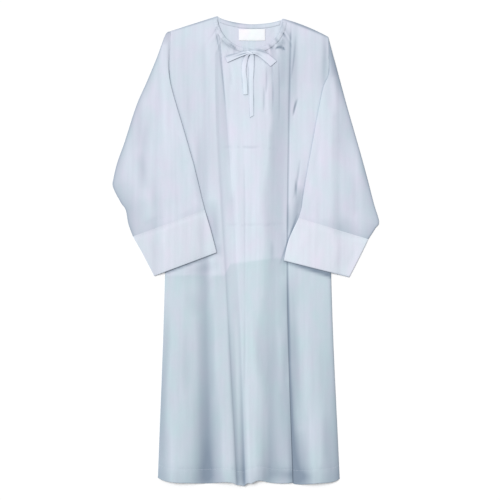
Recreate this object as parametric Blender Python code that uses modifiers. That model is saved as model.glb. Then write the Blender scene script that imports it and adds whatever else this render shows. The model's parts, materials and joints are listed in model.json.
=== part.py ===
"""An alb, laid flat on its back, as solids.

The alb is a long white robe with a gathered round neck, a tie, wide sleeves and deep doubled
cuffs. It lies on the plane z = 0 with its neck towards +Y and the wearer's right sleeve at -X.
Both sleeves are folded down over the edges of the front. The origin is on the floor, under the
middle of the garment's outline.

Every piece that a maker cuts and sews on is its own object. Lengths are in millimetres up to
new_cloth, which makes the meshes in metres. Each piece is laid on those below it: FloorPile
feels how high they reach, so nothing is sunk into its neighbour.
"""

from dataclasses import dataclass
from math import cos, hypot, pi, sin, tau

import bmesh
import bpy
import numpy as np
from mathutils import Vector
from mathutils.bvhtree import BVHTree

MM = 0.001

# Cloth
CLOTH = 1.0               # one layer of cloth
DOUBLED_CLOTH = 1.5       # two layers, pressed and sewn together
TAPE = 1.0                # the tie's flat tape
SEAM_GAP = 0.3            # between pieces that touch
SEAM_STEP = 0.5           # between the body's side edge and the sleeve beside it
TIP_STEP = 1.4            # the same at the shoulder's tip, where the sleeve's fold starts
FRONT_FLOOR = CLOTH + SEAM_GAP   # underside of the front where it lies on the back

# Outline of the body
NECK_CENTRE_X = 11.6
NECK_HALF_WIDTH = 94.4
NECK_PEAK_LEFT_Y = 685.0
NECK_PEAK_RIGHT_Y = 677.5
FRONT_NECK_DEPTH = 92.0
BACK_NECK_DEPTH = 20.0
BACK_NECK_POWER = 1.6     # 2 is half an ellipse, less has flatter sides
SHOULDER_LEFT = (-220.0, 641.0)
SHOULDER_RIGHT = (240.0, 624.0)
SHOULDER_BULGE_LEFT = 4.5
SHOULDER_BULGE_RIGHT = 6.5
CHEST_Y = 353.0
HIP_Y = -100.0
BACK_HEM_RISE = 4.0       # the back ends this much above the front's hem

# Front
FRONT_ROWS = 27
TOP_FADE = 70.0           # folds grow from the top edge over this length
TOP_LIFT_SHARE = 0.15     # share of a fold's height that is left at the top edge
GATHER_LIFT = 1.1         # small gathers under the neck casing
GATHER_LENGTH = 120.0
GATHER_MARGIN = 6.0       # no gathers this close to the neck's peaks
ROW_CROWDING = 1.45       # above 1 the rows of points are closer near the top

# Neck casing
CASING_WIDTH = 13.0
CASING_THICKNESS = 1.6
CASING_SECTIONS = 60
CASING_GATHERS = 22
CASING_GATHER_LIFT = 0.7
CASING_END_DROP = 10.0    # the front casing ends this far below the neck's peaks
CASING_ROUNDING = 0.8     # how far its middle stands up
CASING_REACH = 4.0        # it lies clear of all within this distance

# Sleeves and cuffs
SLEEVE_EDGE_HEIGHT = 2.7  # a flattened tube's height at its folded edges
CUFF_EDGE_HEIGHT = 3.8
EDGE_ROUNDING = 0.9       # how far a folded edge bulges out
SEAM_FLAT_Y = 614.0       # above this a sleeve lies beside the body
SEAM_OVER_Y = 588.0       # below this it lies over the body
RINGS_PER_ROW = 2
LAYER_POINTS = 13
DRAPE_REACH = 12.0        # a sleeve lies clear of all within this distance
DRAPE_SLOPE = 0.09        # and falls off a raised edge by this slope

# Label
LABEL_WIDTH = 77.0
LABEL_HEIGHT = 34.0
LABEL_CENTRE = (17.5, 630.0)
LABEL_THICKNESS = 1.0

# Tie
KNOT_CENTRE = (12.5, 577.0)
KNOT_SIZE = (24.0, 15.0, 7.0)
KNOT_ROUNDING = 2.6
TAPE_ROOT_RISE = 2.1      # the tape leaves the knot this far above the knot's underside
TAPE_REACH = 3.0          # the tape lies clear of all within this distance
TAPE_STEPS = 4            # sections for each point of the tape's centre line
LOOP_TURN = 1.2           # how far a loop's fold bulges past its last point
LOOP_CLOSED = 2.2         # from the loop's lower to its upper layer at the ends
LOOP_OPEN = 4.2           # and in the middle

WHITE_COTTON = (0.70, 0.74, 0.83, 1.0)
DOUBLED_COTTON = (0.76, 0.80, 0.88, 1.0)
LABEL_WHITE = (0.88, 0.90, 0.92, 1.0)


@dataclass(frozen=True)
class FoldLine:
    """A crest, valley or edge that runs down the front, from its top edge to the hem.

    x_... is where it passes at the top edge, the chest, the hip and the hem, and lift_... is
    how far the cloth is raised there. splits is the number of strips up to the next line.
    """

    name: str
    x_top: float
    x_chest: float
    x_hip: float
    x_hem: float
    y_hem: float
    lift_top: float
    lift_chest: float
    lift_hip: float
    lift_hem: float
    splits: int


FRONT_LINES = (
    FoldLine("left_edge", -220, -231, -237, -257, -665, 0.0, 0.0, 0.0, 0.0, 1),
    FoldLine("left_roll", -214, -223, -228, -246, -672, 0.5, 0.8, 2.0, 4.0, 2),
    FoldLine("left_crest", -190, -193, -193, -207, -682, 1.5, 1.6, 4.0, 10.5, 2),
    FoldLine("left_fall", -155, -155, -152, -158, -681, 1.5, 1.6, 2.8, 6.5, 2),
    FoldLine("valley_a", -123, -123, -122, -114, -678, 0.8, 0.6, 0.8, 0.8, 2),
    FoldLine("crest_ab", -102, -99, -88, -61, -676, 2.6, 3.0, 5.0, 12.0, 1),
    FoldLine("b_brow", -91, -87, -67, -41, -680, 3.4, 4.0, 4.6, 9.5, 1),
    FoldLine("b_edge", -86, -82, -61, -34, -683, 2.6, 3.2, 3.0, 5.5, 1),
    FoldLine("b_root", -83, -79, -59, -38, -683, 0.5, 0.5, 0.6, 1.0, 1),
    FoldLine("strip", -78, -73, -51, -22, -684, 0.8, 1.0, 1.2, 1.6, 1),
    FoldLine("c_root", -72, -63, -42, -10, -685, 0.6, 1.2, 1.3, 1.0, 1),
    FoldLine("c_edge", -63, -54, -35, -6, -685, 2.2, 2.6, 2.6, 6.0, 2),
    FoldLine("crest_cl", -38, -38, -20, 6, -684, 3.0, 4.6, 4.8, 11.0, 4),
    FoldLine("centre", 0, 0, 6, 23, -679, 3.2, 5.4, 5.0, 8.5, 4),
    FoldLine("crest_cr", 40, 44, 35, 41, -674, 3.0, 5.0, 4.4, 9.0, 4),
    FoldLine("valley_e", 92, 92, 77, 70, -676, 1.0, 1.2, 1.0, 0.8, 2),
    FoldLine("crest_ef", 106, 108, 98, 99, -681, 3.0, 3.6, 4.0, 9.0, 1),
    FoldLine("f_brow", 119, 118, 112, 118, -680, 3.4, 4.2, 4.6, 8.5, 1),
    FoldLine("f_edge", 126, 124, 119, 126, -678, 2.6, 3.2, 3.0, 5.0, 1),
    FoldLine("f_root", 129, 127, 122, 123, -680, 0.5, 0.5, 0.5, 0.8, 1),
    FoldLine("f_floor", 138, 137, 133, 142, -682, 0.6, 0.6, 0.8, 1.0, 2),
    FoldLine("right_rise", 158, 158, 161, 169, -684, 1.6, 1.6, 3.0, 6.5, 2),
    FoldLine("right_crest", 193, 196, 196, 201, -685.5, 1.6, 1.6, 4.2, 12.0, 2),
    FoldLine("right_roll", 232, 238, 240, 261, -675, 0.5, 0.8, 2.0, 4.0, 1),
    FoldLine("right_edge", 240, 246, 249, 273, -668, 0.0, 0.0, 0.0, 0.0, 1),
)


@dataclass(frozen=True)
class SleeveRow:
    """One section of a flattened sleeve or cuff, from its outer to its inner folded edge."""

    outer_x: float
    outer_y: float
    inner_x: float
    inner_y: float
    swell: float


LEFT_SLEEVE = (
    SleeveRow(-220.0, 641, -224.5, 528, 0.0),
    SleeveRow(-260.0, 564, -223.4, 514, 0.8),
    SleeveRow(-289.0, 494, -218.5, 482, 1.6),
    SleeveRow(-321.0, 423, -206.0, 436, 2.0),
    SleeveRow(-355.0, 318, -180.0, 349, 2.4),
    SleeveRow(-374.0, 259, -163.0, 290, 2.6),
    SleeveRow(-385.0, 212, -151.5, 250, 2.6),
    SleeveRow(-388.0, 186, -145.0, 222, 2.4),
    SleeveRow(-365.0, 142, -136.0, 186, 2.0),
    SleeveRow(-350.0, 119, -130.0, 160, 1.6),
    SleeveRow(-342.0, 78, -124.5, 138, 1.2),
    SleeveRow(-328.0, 42, -120.0, 120, 0.6),
)
LEFT_CUFF = (
    SleeveRow(-328.0, 42, -120.0, 120, 0.0),
    SleeveRow(-297.0, -14, -102.0, 59, 0.6),
    SleeveRow(-265.0, -70, -85.0, -3, 0.0),
)
RIGHT_SLEEVE = (
    SleeveRow(240.0, 624, 242.0, 532, 0.0),
    SleeveRow(251.0, 580, 242.4, 518, 0.6),
    SleeveRow(269.0, 516, 237.5, 504, 1.4),
    SleeveRow(291.0, 434, 225.0, 474, 2.0),
    SleeveRow(315.0, 350, 209.5, 400, 2.4),
    SleeveRow(336.0, 277, 193.0, 310, 2.6),
    SleeveRow(355.0, 207, 177.5, 225, 2.6),
    SleeveRow(372.0, 137, 167.0, 163, 2.2),
    SleeveRow(388.0, 85, 162.5, 128, 1.8),
    SleeveRow(377.0, 65, 157.0, 108, 1.2),
    SleeveRow(357.0, 34, 150.0, 87, 0.6),
)
RIGHT_CUFF = (
    SleeveRow(357.0, 34, 150.0, 87, 0.0),
    SleeveRow(330.0, -23, 124.0, 31, 0.6),
    SleeveRow(303.0, -78, 110.0, -29, 0.0),
)


@dataclass(frozen=True)
class SoftFold:
    """A soft ridge or trough along a sleeve's upper layer.

    across_... is its place from the outer (0) to the inner edge (1) at its two ends, down_...
    the share of the sleeve's length where it starts and ends, and width a share of the ring.
    """

    across_start: float
    across_end: float
    down_start: float
    down_end: float
    width: float
    height: float


LEFT_SLEEVE_FOLDS = (
    SoftFold(0.30, 0.22, 0.25, 1.00, 0.07, -1.4),
    SoftFold(0.12, 0.10, 0.35, 0.85, 0.08, 1.4),
    SoftFold(0.46, 0.50, 0.15, 0.90, 0.09, 1.2),
    SoftFold(0.74, 0.72, 0.20, 0.80, 0.07, -0.9),
)
RIGHT_SLEEVE_FOLDS = (
    SoftFold(0.24, 0.18, 0.30, 1.00, 0.07, -1.2),
    SoftFold(0.45, 0.44, 0.20, 0.90, 0.10, 1.4),
    SoftFold(0.72, 0.76, 0.15, 0.85, 0.07, -1.0),
)
CUFF_FOLDS = (
    SoftFold(0.35, 0.40, -0.4, 1.4, 0.10, 0.7),
    SoftFold(0.66, 0.62, -0.4, 1.4, 0.08, -0.4),
)


@dataclass(frozen=True)
class TapePoint:
    """A point of a tape's centre line: its place, the tape's width, and its end's slant."""

    x: float
    y: float
    width: float
    slant: float = 0.0


TAIL_LEFT = (
    TapePoint(3.0, 569.0, 11.0),
    TapePoint(-1.0, 542.0, 12.0),
    TapePoint(-5.5, 519.0, 12.5),
    TapePoint(-2.5, 487.0, 12.5),
    TapePoint(-1.0, 455.0, 12.5),
)
TAIL_RIGHT = (
    TapePoint(20.0, 569.0, 11.0),
    TapePoint(17.5, 540.0, 12.0),
    TapePoint(15.5, 504.0, 12.0),
    TapePoint(14.0, 484.0, 12.0),
    TapePoint(16.0, 440.0, 11.5),
    TapePoint(17.0, 391.0, 11.0, 6.0),
)
LOOP_LEFT = (
    TapePoint(-1.2, 577.0, 10.0),
    TapePoint(-14.0, 575.0, 12.0),
    TapePoint(-36.0, 566.0, 15.0),
    TapePoint(-57.0, 556.0, 17.0),
)
LOOP_RIGHT = (
    TapePoint(26.4, 577.0, 10.0),
    TapePoint(40.0, 574.0, 13.0),
    TapePoint(60.0, 562.0, 18.0),
    TapePoint(82.0, 545.0, 20.0, 5.0),
)


# Small mathematics

def smoothstep(value):
    """Return 0 below 0, 1 above 1 and an eased value between."""
    value = np.clip(value, 0.0, 1.0)
    return value * value * (3.0 - 2.0 * value)


def through(stations, values, at):
    """Return a smooth curve through values at stations, read at the places in at.

    It is a cubic Hermite curve whose slope at each station is the mean of its neighbours'.
    """
    stations = np.asarray(stations, dtype=float)
    values = np.asarray(values, dtype=float)
    secants = np.diff(values) / np.diff(stations)
    slopes = np.concatenate(([secants[0]], (secants[:-1] + secants[1:]) / 2.0, [secants[-1]]))
    span = np.clip(np.searchsorted(stations, at) - 1, 0, len(stations) - 2)
    width = stations[span + 1] - stations[span]
    part = np.clip((at - stations[span]) / width, 0.0, 1.0)
    square, cube = part ** 2, part ** 3
    return (
        (2 * cube - 3 * square + 1) * values[span]
        + (cube - 2 * square + part) * width * slopes[span]
        + (3 * square - 2 * cube) * values[span + 1]
        + (cube - square) * width * slopes[span + 1]
    )


def resample(points, count):
    """Return count points along the smooth curve through a list of points."""
    points = np.asarray(points, dtype=float)
    steps = np.hypot(np.diff(points[:, 0]), np.diff(points[:, 1]))
    along = np.concatenate(([0.0], np.cumsum(steps)))
    places = np.linspace(0.0, along[-1], count)
    return np.stack([through(along, column, places) for column in points.T], axis=1)


# Making meshes

def clear_scene():
    """Remove every object that the file starts with."""
    for item in list(bpy.data.objects):
        bpy.data.objects.remove(item, do_unlink=True)


def cloth_material(name, colour, roughness=0.85):
    """Return a matt cloth material."""
    material = bpy.data.materials.new(name)
    material.use_nodes = True
    shader = material.node_tree.nodes["Principled BSDF"]
    shader.inputs["Base Color"].default_value = colour
    shader.inputs["Roughness"].default_value = roughness
    shader.inputs["Metallic"].default_value = 0.0
    material.diffuse_color = colour
    return material


def grid_faces(rows, columns):
    """Return the quads of a grid of points."""
    corners = np.arange(rows * columns).reshape(rows, columns)
    quads = (corners[:-1, :-1], corners[:-1, 1:], corners[1:, 1:], corners[1:, :-1])
    return np.stack(quads, axis=-1).reshape(-1, 4).tolist()


def tube_faces(rings, around):
    """Return the triangles of a tube of closed rings.

    Its upper half is cut along the other diagonals, which puts them right above the lower
    ones, so the two layers stay the same way apart wherever the tube is twisted.
    """
    faces = []
    for ring in range(rings - 1):
        for corner in range(around):
            near = ring * around + corner
            near_next = ring * around + (corner + 1) % around
            far, far_next = near + around, near_next + around
            if corner < around // 2:
                faces += [(near, near_next, far_next), (near, far_next, far)]
            else:
                faces += [(near, near_next, far), (near_next, far_next, far)]
    return faces


def place_mesh(name, points, faces, material):
    """Make an object in the alb's collection from points in millimetres and faces."""
    mesh = bpy.data.meshes.new(name)
    mesh.from_pydata((points * MM).tolist(), [], faces)
    mesh.shade_smooth()
    mesh.materials.append(material)
    piece = bpy.data.objects.new(name, mesh)
    ALB.objects.link(piece)
    return piece


def new_cloth(name, points, thickness, material, offset):
    """Make an open surface from a grid of points and thicken it.

    Args:
        name: the object's name.
        points: an array of rows x columns x 3, in millimetres.
        thickness: the cloth's thickness in millimetres.
        material: its material.
        offset: 1 thickens along the faces' normals, -1 against them, 0 both ways.
    """
    rows, columns = points.shape[:2]
    piece = place_mesh(name, points.reshape(-1, 3), grid_faces(rows, columns), material)
    shell = piece.modifiers.new("Thickness", "SOLIDIFY")
    shell.thickness = thickness * MM
    shell.offset = offset
    return piece


class FloorPile:
    """The floor and the pieces that already lie on it, felt from above."""

    def __init__(self):
        self.trees = []

    def add(self, piece):
        """Put a finished piece on the pile."""
        bpy.context.view_layer.update()
        mesh = piece.evaluated_get(bpy.context.evaluated_depsgraph_get()).to_mesh()
        corners = [piece.matrix_world @ vertex.co / MM for vertex in mesh.vertices]
        faces = [tuple(face.vertices) for face in mesh.polygons]
        self.trees.append(BVHTree.FromPolygons(corners, faces))

    def top(self, x, y):
        """Return the height of whatever lies highest at a place, 0 for the bare floor."""
        height = 0.0
        for tree in self.trees:
            hit = tree.ray_cast(Vector((x, y, 500.0)), Vector((0.0, 0.0, -1.0)))[0]
            if hit is not None:
                height = max(height, hit.z)
        return height

    def rest(self, x, y, reach, slope=0.0):
        """Return how high cloth lies here, clear of all within reach.

        With a slope it also spans a raised edge further off, up to three times the reach, as a
        tent whose sides fall by that slope.
        """
        height = self.top(x, y)
        rings = np.linspace(0.5, 1.0, 2) if slope == 0.0 else np.linspace(0.5, 3.0, 9)
        for ring in rings:
            distance = ring * reach
            for turn in range(12):
                angle = turn * tau / 12
                found = self.top(x + distance * cos(angle), y + distance * sin(angle))
                if found > 0.0:
                    found += SEAM_GAP - slope * max(0.0, distance - reach)
                height = max(height, found)
        return height


# The body's outline

def neck_rim(x):
    """Return the height of the line between the neck's two peaks at x."""
    share = (x - NECK_CENTRE_X + NECK_HALF_WIDTH) / (2.0 * NECK_HALF_WIDTH)
    return NECK_PEAK_LEFT_Y + (NECK_PEAK_RIGHT_Y - NECK_PEAK_LEFT_Y) * share


def shoulder_y(x):
    """Return the shoulder line's y at x, on either side of the neck."""
    if x < NECK_CENTRE_X:
        peak = (NECK_CENTRE_X - NECK_HALF_WIDTH, NECK_PEAK_LEFT_Y)
        tip, bulge = SHOULDER_LEFT, SHOULDER_BULGE_LEFT
    else:
        peak = (NECK_CENTRE_X + NECK_HALF_WIDTH, NECK_PEAK_RIGHT_Y)
        tip, bulge = SHOULDER_RIGHT, SHOULDER_BULGE_RIGHT
    share = (x - peak[0]) / (tip[0] - peak[0])
    return peak[1] + (tip[1] - peak[1]) * share + bulge * 4.0 * share * (1.0 - share)


def neck_y(x, depth, power):
    """Return a neckline's y at x: half an ellipse for power 2, flatter sides for less."""
    across = min(1.0, abs(x - NECK_CENTRE_X) / NECK_HALF_WIDTH)
    return neck_rim(x) - depth * (1.0 - across ** power) ** (1.0 / power)


def top_y(x, depth=FRONT_NECK_DEPTH, power=2.0):
    """Return the y of a panel's top edge at x: neckline or shoulder."""
    if abs(x - NECK_CENTRE_X) <= NECK_HALF_WIDTH:
        return neck_y(x, depth, power)
    return shoulder_y(x)


def line_x(line, y, y_top):
    """Return where a fold line passes at the heights y."""
    stations = (line.y_hem, HIP_Y, CHEST_Y, y_top)
    return through(stations, (line.x_hem, line.x_hip, line.x_chest, line.x_top), y)


def line_lift(line, y, y_top):
    """Return how far a fold line is raised at the heights y."""
    stations = (line.y_hem, HIP_Y, CHEST_Y, y_top)
    lifts = through(stations, (line.lift_hem, line.lift_hip, line.lift_chest, line.lift_top), y)
    fade = TOP_LIFT_SHARE + (1.0 - TOP_LIFT_SHARE) * smoothstep((y_top - y) / TOP_FADE)
    return np.maximum(lifts, 0.0) * fade


def rows_up(count):
    """Return the shares of a column's height, from hem to top, closer near the top."""
    return 1.0 - (1.0 - np.linspace(0.0, 1.0, count)) ** ROW_CROWDING


# Pieces

def make_back(material):
    """Make the back panel, flat on the floor."""
    left, right = FRONT_LINES[0], FRONT_LINES[-1]
    neck_left = NECK_CENTRE_X - NECK_HALF_WIDTH
    neck_right = NECK_CENTRE_X + NECK_HALF_WIDTH
    tops = np.concatenate((
        np.linspace(left.x_top, neck_left, 5)[:-1],
        NECK_CENTRE_X - NECK_HALF_WIDTH * np.cos(np.linspace(0.0, pi, 11)),
        np.linspace(neck_right, right.x_top, 5)[1:],
    ))
    shares = (tops - left.x_top) / (right.x_top - left.x_top)
    hem_x = [line.x_hem for line in FRONT_LINES]
    hem_y = [line.y_hem + BACK_HEM_RISE for line in FRONT_LINES]
    hem_y[0], hem_y[-1] = left.y_hem, right.y_hem
    columns = []
    for top_x, share in zip(tops, shares):
        y_top = top_y(top_x, BACK_NECK_DEPTH, BACK_NECK_POWER)
        x_hem = left.x_hem + (right.x_hem - left.x_hem) * share
        y_hem = np.interp(x_hem, np.maximum.accumulate(hem_x), hem_y)
        y = y_hem + (y_top - y_hem) * rows_up(12)
        x_left = line_x(left, y, top_y(left.x_top))
        x_right = line_x(right, y, top_y(right.x_top))
        x = x_left + (x_right - x_left) * share
        columns.append(np.stack([x, y, np.zeros_like(y)], axis=1))
    return new_cloth("back_panel", np.stack(columns, axis=1), CLOTH, material, offset=1.0)


def front_columns():
    """Return the front's strips as (line before, line after, share between them)."""
    columns = []
    for before, after in zip(FRONT_LINES[:-1], FRONT_LINES[1:]):
        for split in range(before.splits):
            columns.append((before, after, split / before.splits))
    columns.append((FRONT_LINES[-1], FRONT_LINES[-1], 0.0))
    return columns


def make_front(material):
    """Make the front panel, with the folds that fall from its gathered neck."""
    shares_up = rows_up(FRONT_ROWS)
    columns = []
    for index, (before, after, share) in enumerate(front_columns()):
        ease = smoothstep(share)
        x_top = before.x_top + (after.x_top - before.x_top) * share
        y_top = top_y(x_top)
        y_hem = before.y_hem + (after.y_hem - before.y_hem) * share
        y = y_hem + (y_top - y_hem) * shares_up
        x = (1 - share) * line_x(before, y, y_top) + share * line_x(after, y, y_top)
        x[-1] = x_top
        lift = (1 - ease) * line_lift(before, y, y_top) + ease * line_lift(after, y, y_top)
        if abs(x_top - NECK_CENTRE_X) < NECK_HALF_WIDTH - GATHER_MARGIN:
            depth = GATHER_LIFT * (0.7 + 0.3 * sin(2.4 * index)) * (index % 2)
            lift = lift + depth * (1.0 - smoothstep((y_top - y) / GATHER_LENGTH))
        columns.append(np.stack([x, y, FRONT_FLOOR + lift], axis=1))
    return new_cloth("front_panel", np.stack(columns, axis=1), CLOTH, material, offset=1.0)


def soft_fold_height(folds, down, across):
    """Return the summed height of soft folds at a place on a sleeve."""
    height = np.zeros_like(across)
    for fold in folds:
        share = (down - fold.down_start) / (fold.down_end - fold.down_start)
        if 0.0 < share < 1.0:
            centre = fold.across_start + (fold.across_end - fold.across_start) * share
            spread = ((across - centre) / fold.width) ** 2
            height += fold.height * sin(pi * share) ** 0.6 * np.exp(-spread)
    return height


def flattened_ring(row, down, edge_height, folds, pile):
    """Return a tube's ring as it lies flat on the pile: places, lower and upper heights.

    The places run from the outer to the inner folded edge. The lower layer follows the pile,
    and the upper layer lies on that, swollen and folded.
    """
    outer = np.array((row.outer_x, row.outer_y))
    inner = np.array((row.inner_x, row.inner_y))
    across = np.linspace(0.0, 1.0, LAYER_POINTS)
    places = outer + (inner - outer) * across[:, None]
    over = smoothstep((SEAM_FLAT_Y - places[:, 1]) / (SEAM_FLAT_Y - SEAM_OVER_Y))
    rests = [pile.rest(x, y, DRAPE_REACH, DRAPE_SLOPE) for x, y in places]
    lower = over * np.array(rests)
    plump = np.sin(pi * across).clip(0.0) ** 0.7
    fold = soft_fold_height(folds, down, across) * min(1.0, row.swell)
    upper = lower + edge_height + (row.swell + fold) * plump
    return places, lower, upper


def closed_ring(places, lower, upper, edge_reach):
    """Return a ring's points, around both layers, with a rounded end on each folded edge."""
    ahead = (places[-1] - places[0]) / np.linalg.norm(places[-1] - places[0])
    layers = [np.column_stack((places, lower)), np.column_stack((places, upper))[::-1]]
    inner_end = (*(places[-1] + ahead * edge_reach), (lower[-1] + upper[-1]) / 2.0)
    outer_end = (*(places[0] - ahead * edge_reach), (lower[0] + upper[0]) / 2.0)
    return np.vstack((layers[0], inner_end, layers[1], outer_end))


def inside_ring(ring, edge_walls, wall):
    """Return the same ring one wall further in, within its own upright plane.

    edge_walls holds how far in the hollow starts at the outer and at the inner edge.
    """
    places, lower, upper = ring
    length = np.linalg.norm(places[-1] - places[0])
    across = np.linspace(0.0, 1.0, len(places))
    inside = np.linspace(edge_walls[0] / length, 1.0 - edge_walls[1] / length, len(places))
    new_places = places[0] + (places[-1] - places[0]) * inside[:, None]
    new_lower = np.interp(inside, across, lower) + wall
    new_upper = np.interp(inside, across, upper) - wall
    return new_places, new_lower, new_upper


def edge_wall(ring, edge, neighbour, wall):
    """Return how far a ring enters its tube before it has passed one wall's thickness.

    It is more than the wall where the ring meets the folded edge at a slant.
    """
    ahead = ring[-1] - ring[0]
    edge_way = neighbour - edge
    turn = abs(ahead[0] * edge_way[1] - ahead[1] * edge_way[0])
    slant = turn / (np.linalg.norm(ahead) * np.linalg.norm(edge_way))
    return wall / max(slant, 0.1)


def make_tube(name, rows, edge_height, wall, folds, pile, material, start=0.0):
    """Make a sleeve or cuff: a flattened tube, open at both ends.

    The outer and the inner skin are lofts through rings that stand in the same upright planes,
    because near the armhole the rings meet the folded edge at too steep a slant for Solidify.

    Args:
        name: the object's name.
        rows: its SleeveRow sections, from the shoulder side to the hand side.
        edge_height: the tube's height at its folded edges.
        wall: the cloth's thickness.
        folds: its SoftFold table.
        pile: what it lies on.
        material: its material.
        start: how far, as a share of the first stretch, it starts short of its first row.
    """
    table = np.array([(row.outer_x, row.outer_y, row.inner_x, row.inner_y, row.swell)
                      for row in rows])
    stops = np.linspace(0.0, len(rows) - 1.0, (len(rows) - 1) * RINGS_PER_ROW + 1)
    stops[0] = start
    rings = []
    for stop in stops:
        values = [np.interp(stop, np.arange(len(rows)), column) for column in table.T]
        down = stop / (len(rows) - 1.0)
        rings.append(flattened_ring(SleeveRow(*values), down, edge_height, folds, pile))
    skins = [[], []]
    for index, ring in enumerate(rings):
        beside = rings[index + 1] if index + 1 < len(rings) else rings[index - 1]
        walls = [edge_wall(ring[0], ring[0][end], beside[0][end], wall) for end in (0, -1)]
        skins[0].append(closed_ring(*ring, EDGE_ROUNDING))
        skins[1].append(closed_ring(*inside_ring(ring, walls, wall), 0.0))
    outer_skin, inner_skin = np.array(skins[0]), np.array(skins[1])
    if rows[-1].outer_x > rows[-1].inner_x:
        outer_skin, inner_skin = outer_skin[:, ::-1], inner_skin[:, ::-1]
    return hollow_loft(name, outer_skin, inner_skin, material)


def hollow_loft(name, outer_skin, inner_skin, material):
    """Make a tube from two skins of the same grid, joined by a rim at each open end."""
    rings, around = outer_skin.shape[:2]
    count = rings * around
    outside = tube_faces(rings, around)
    inside = [tuple(corner + count for corner in reversed(face)) for face in outside]
    last = (rings - 1) * around
    rims = []
    for corner in range(around):
        after = (corner + 1) % around
        rims.append((after, corner, corner + count, after + count))
        rims.append((last + corner, last + after, last + after + count, last + corner + count))
    points = np.vstack((outer_skin.reshape(-1, 3), inner_skin.reshape(-1, 3)))
    return place_mesh(name, points, outside + inside + rims, material)


def beside_body(rows, side_line, sign):
    """Return sleeve rows whose first section lies just outside the body's side edge."""
    first = rows[0]
    y_top = top_y(side_line.x_top)
    outer_x = float(line_x(side_line, np.array([first.outer_y]), y_top)[0]) + sign * TIP_STEP
    inner_x = float(line_x(side_line, np.array([first.inner_y]), y_top)[0]) + sign * SEAM_STEP
    seam = SleeveRow(outer_x, first.outer_y, inner_x, first.inner_y, first.swell)
    return (seam, *rows[1:])


def make_front_casing(pile, material):
    """Make the gathered channel on the front neckline, from one neck peak to the other."""
    start = float(np.arcsin(CASING_END_DROP / FRONT_NECK_DEPTH))
    rows = []
    for index, angle in enumerate(np.linspace(start, pi - start, CASING_SECTIONS)):
        x = NECK_CENTRE_X - NECK_HALF_WIDTH * cos(angle)
        edge = np.array((x, neck_rim(x) - FRONT_NECK_DEPTH * sin(angle)))
        normal = np.array((-cos(angle) / NECK_HALF_WIDTH, -sin(angle) / FRONT_NECK_DEPTH))
        normal /= np.linalg.norm(normal)
        ripple = 0.5 - 0.5 * cos(tau * CASING_GATHERS * index / CASING_SECTIONS)
        section = []
        for across in (0.02, 0.3, 0.7, 1.0):
            place = edge + normal * CASING_WIDTH * across
            round_up = sin(pi * across) if across < 1.0 else 0.0
            lift = round_up * (CASING_ROUNDING + CASING_GATHER_LIFT * ripple)
            section.append((*place, pile.rest(*place, CASING_REACH) + lift))
        rows.append(section)
    return new_cloth("neck_casing_front", np.array(rows), CASING_THICKNESS, material, offset=1.0)


def make_back_casing(material):
    """Make the channel along the back neck, seen from its inside."""
    reach = NECK_HALF_WIDTH - 7.0
    rows = []
    for x in np.linspace(NECK_CENTRE_X - reach, NECK_CENTRE_X + reach, 25):
        edge_y = neck_y(x, BACK_NECK_DEPTH, BACK_NECK_POWER) - SEAM_GAP
        rows.append([(x, edge_y - CASING_WIDTH * across, FRONT_FLOOR) for across in (0, 0.5, 1)])
    return new_cloth("neck_casing_back", np.array(rows), CASING_THICKNESS, material, offset=1.0)


def make_label(material):
    """Make the bare woven label under the back casing."""
    bpy.ops.mesh.primitive_cube_add(size=1.0)
    label = bpy.context.object
    label.name = label.data.name = "label"
    size = Vector((LABEL_WIDTH, LABEL_HEIGHT, LABEL_THICKNESS)) * MM
    for corner in label.data.vertices:
        corner.co = corner.co * size
    label.location = Vector((*LABEL_CENTRE, FRONT_FLOOR + LABEL_THICKNESS / 2.0)) * MM
    for collection in list(label.users_collection):
        collection.objects.unlink(label)
    ALB.objects.link(label)
    label.data.materials.append(material)
    return label


def tape_sections(points, pile, knot_level, root_steps):
    """Return a tape's sections, laid over the pile, and the unit vector along each.

    Each section is three points across the tape. The first root_steps sections come down from
    knot_level, where the tape leaves the knot.
    """
    count = TAPE_STEPS * len(points)
    line = resample([(p.x, p.y, p.width, p.slant) for p in points], count)
    ahead = np.gradient(line[:, :2], axis=0)
    ahead /= np.linalg.norm(ahead, axis=1)[:, None]
    side = np.stack([-ahead[:, 1], ahead[:, 0]], axis=1)
    falls = 1.0 - smoothstep(np.arange(count) / root_steps)
    sections = []
    for (x, y, width, slant), forward, left, fall in zip(line, ahead, side, falls):
        edges = [(x, y) + hand * (left * width - forward * slant) for hand in (0.5, 0.0, -0.5)]
        level = max(pile.rest(*edge, TAPE_REACH) for edge in edges)
        level += fall * max(0.0, knot_level - level)
        sections.append([(*edge, level) for edge in edges])
    return np.array(sections), ahead


def make_tail(name, points, pile, knot_level, material):
    """Make a free end of the tie, which runs down from the knot and lies on the front."""
    sections, _ = tape_sections(points, pile, knot_level, root_steps=4.0)
    return new_cloth(name, sections, TAPE, material, offset=1.0)


def make_loop(name, points, pile, knot_level, material):
    """Make one loop of the bow: the tape runs out over the front, turns, and comes back."""
    lower, ahead = tape_sections(points, pile, knot_level, root_steps=5.0)
    lower[:, :, 2] += TAPE / 2.0
    turn = lower[-1:].copy()
    turn[:, :, :2] += ahead[-1] * LOOP_TURN
    turn[:, :, 2] += LOOP_CLOSED / 2.0
    upper = lower[::-1].copy()
    open_share = np.sin(pi * np.linspace(0.0, 1.0, len(upper))).clip(0.0) ** 0.8
    upper[:, :, 2] += (LOOP_CLOSED + (LOOP_OPEN - LOOP_CLOSED) * open_share)[:, None]
    return new_cloth(name, np.vstack((lower, turn, upper)), TAPE, material, offset=0.0)


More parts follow.
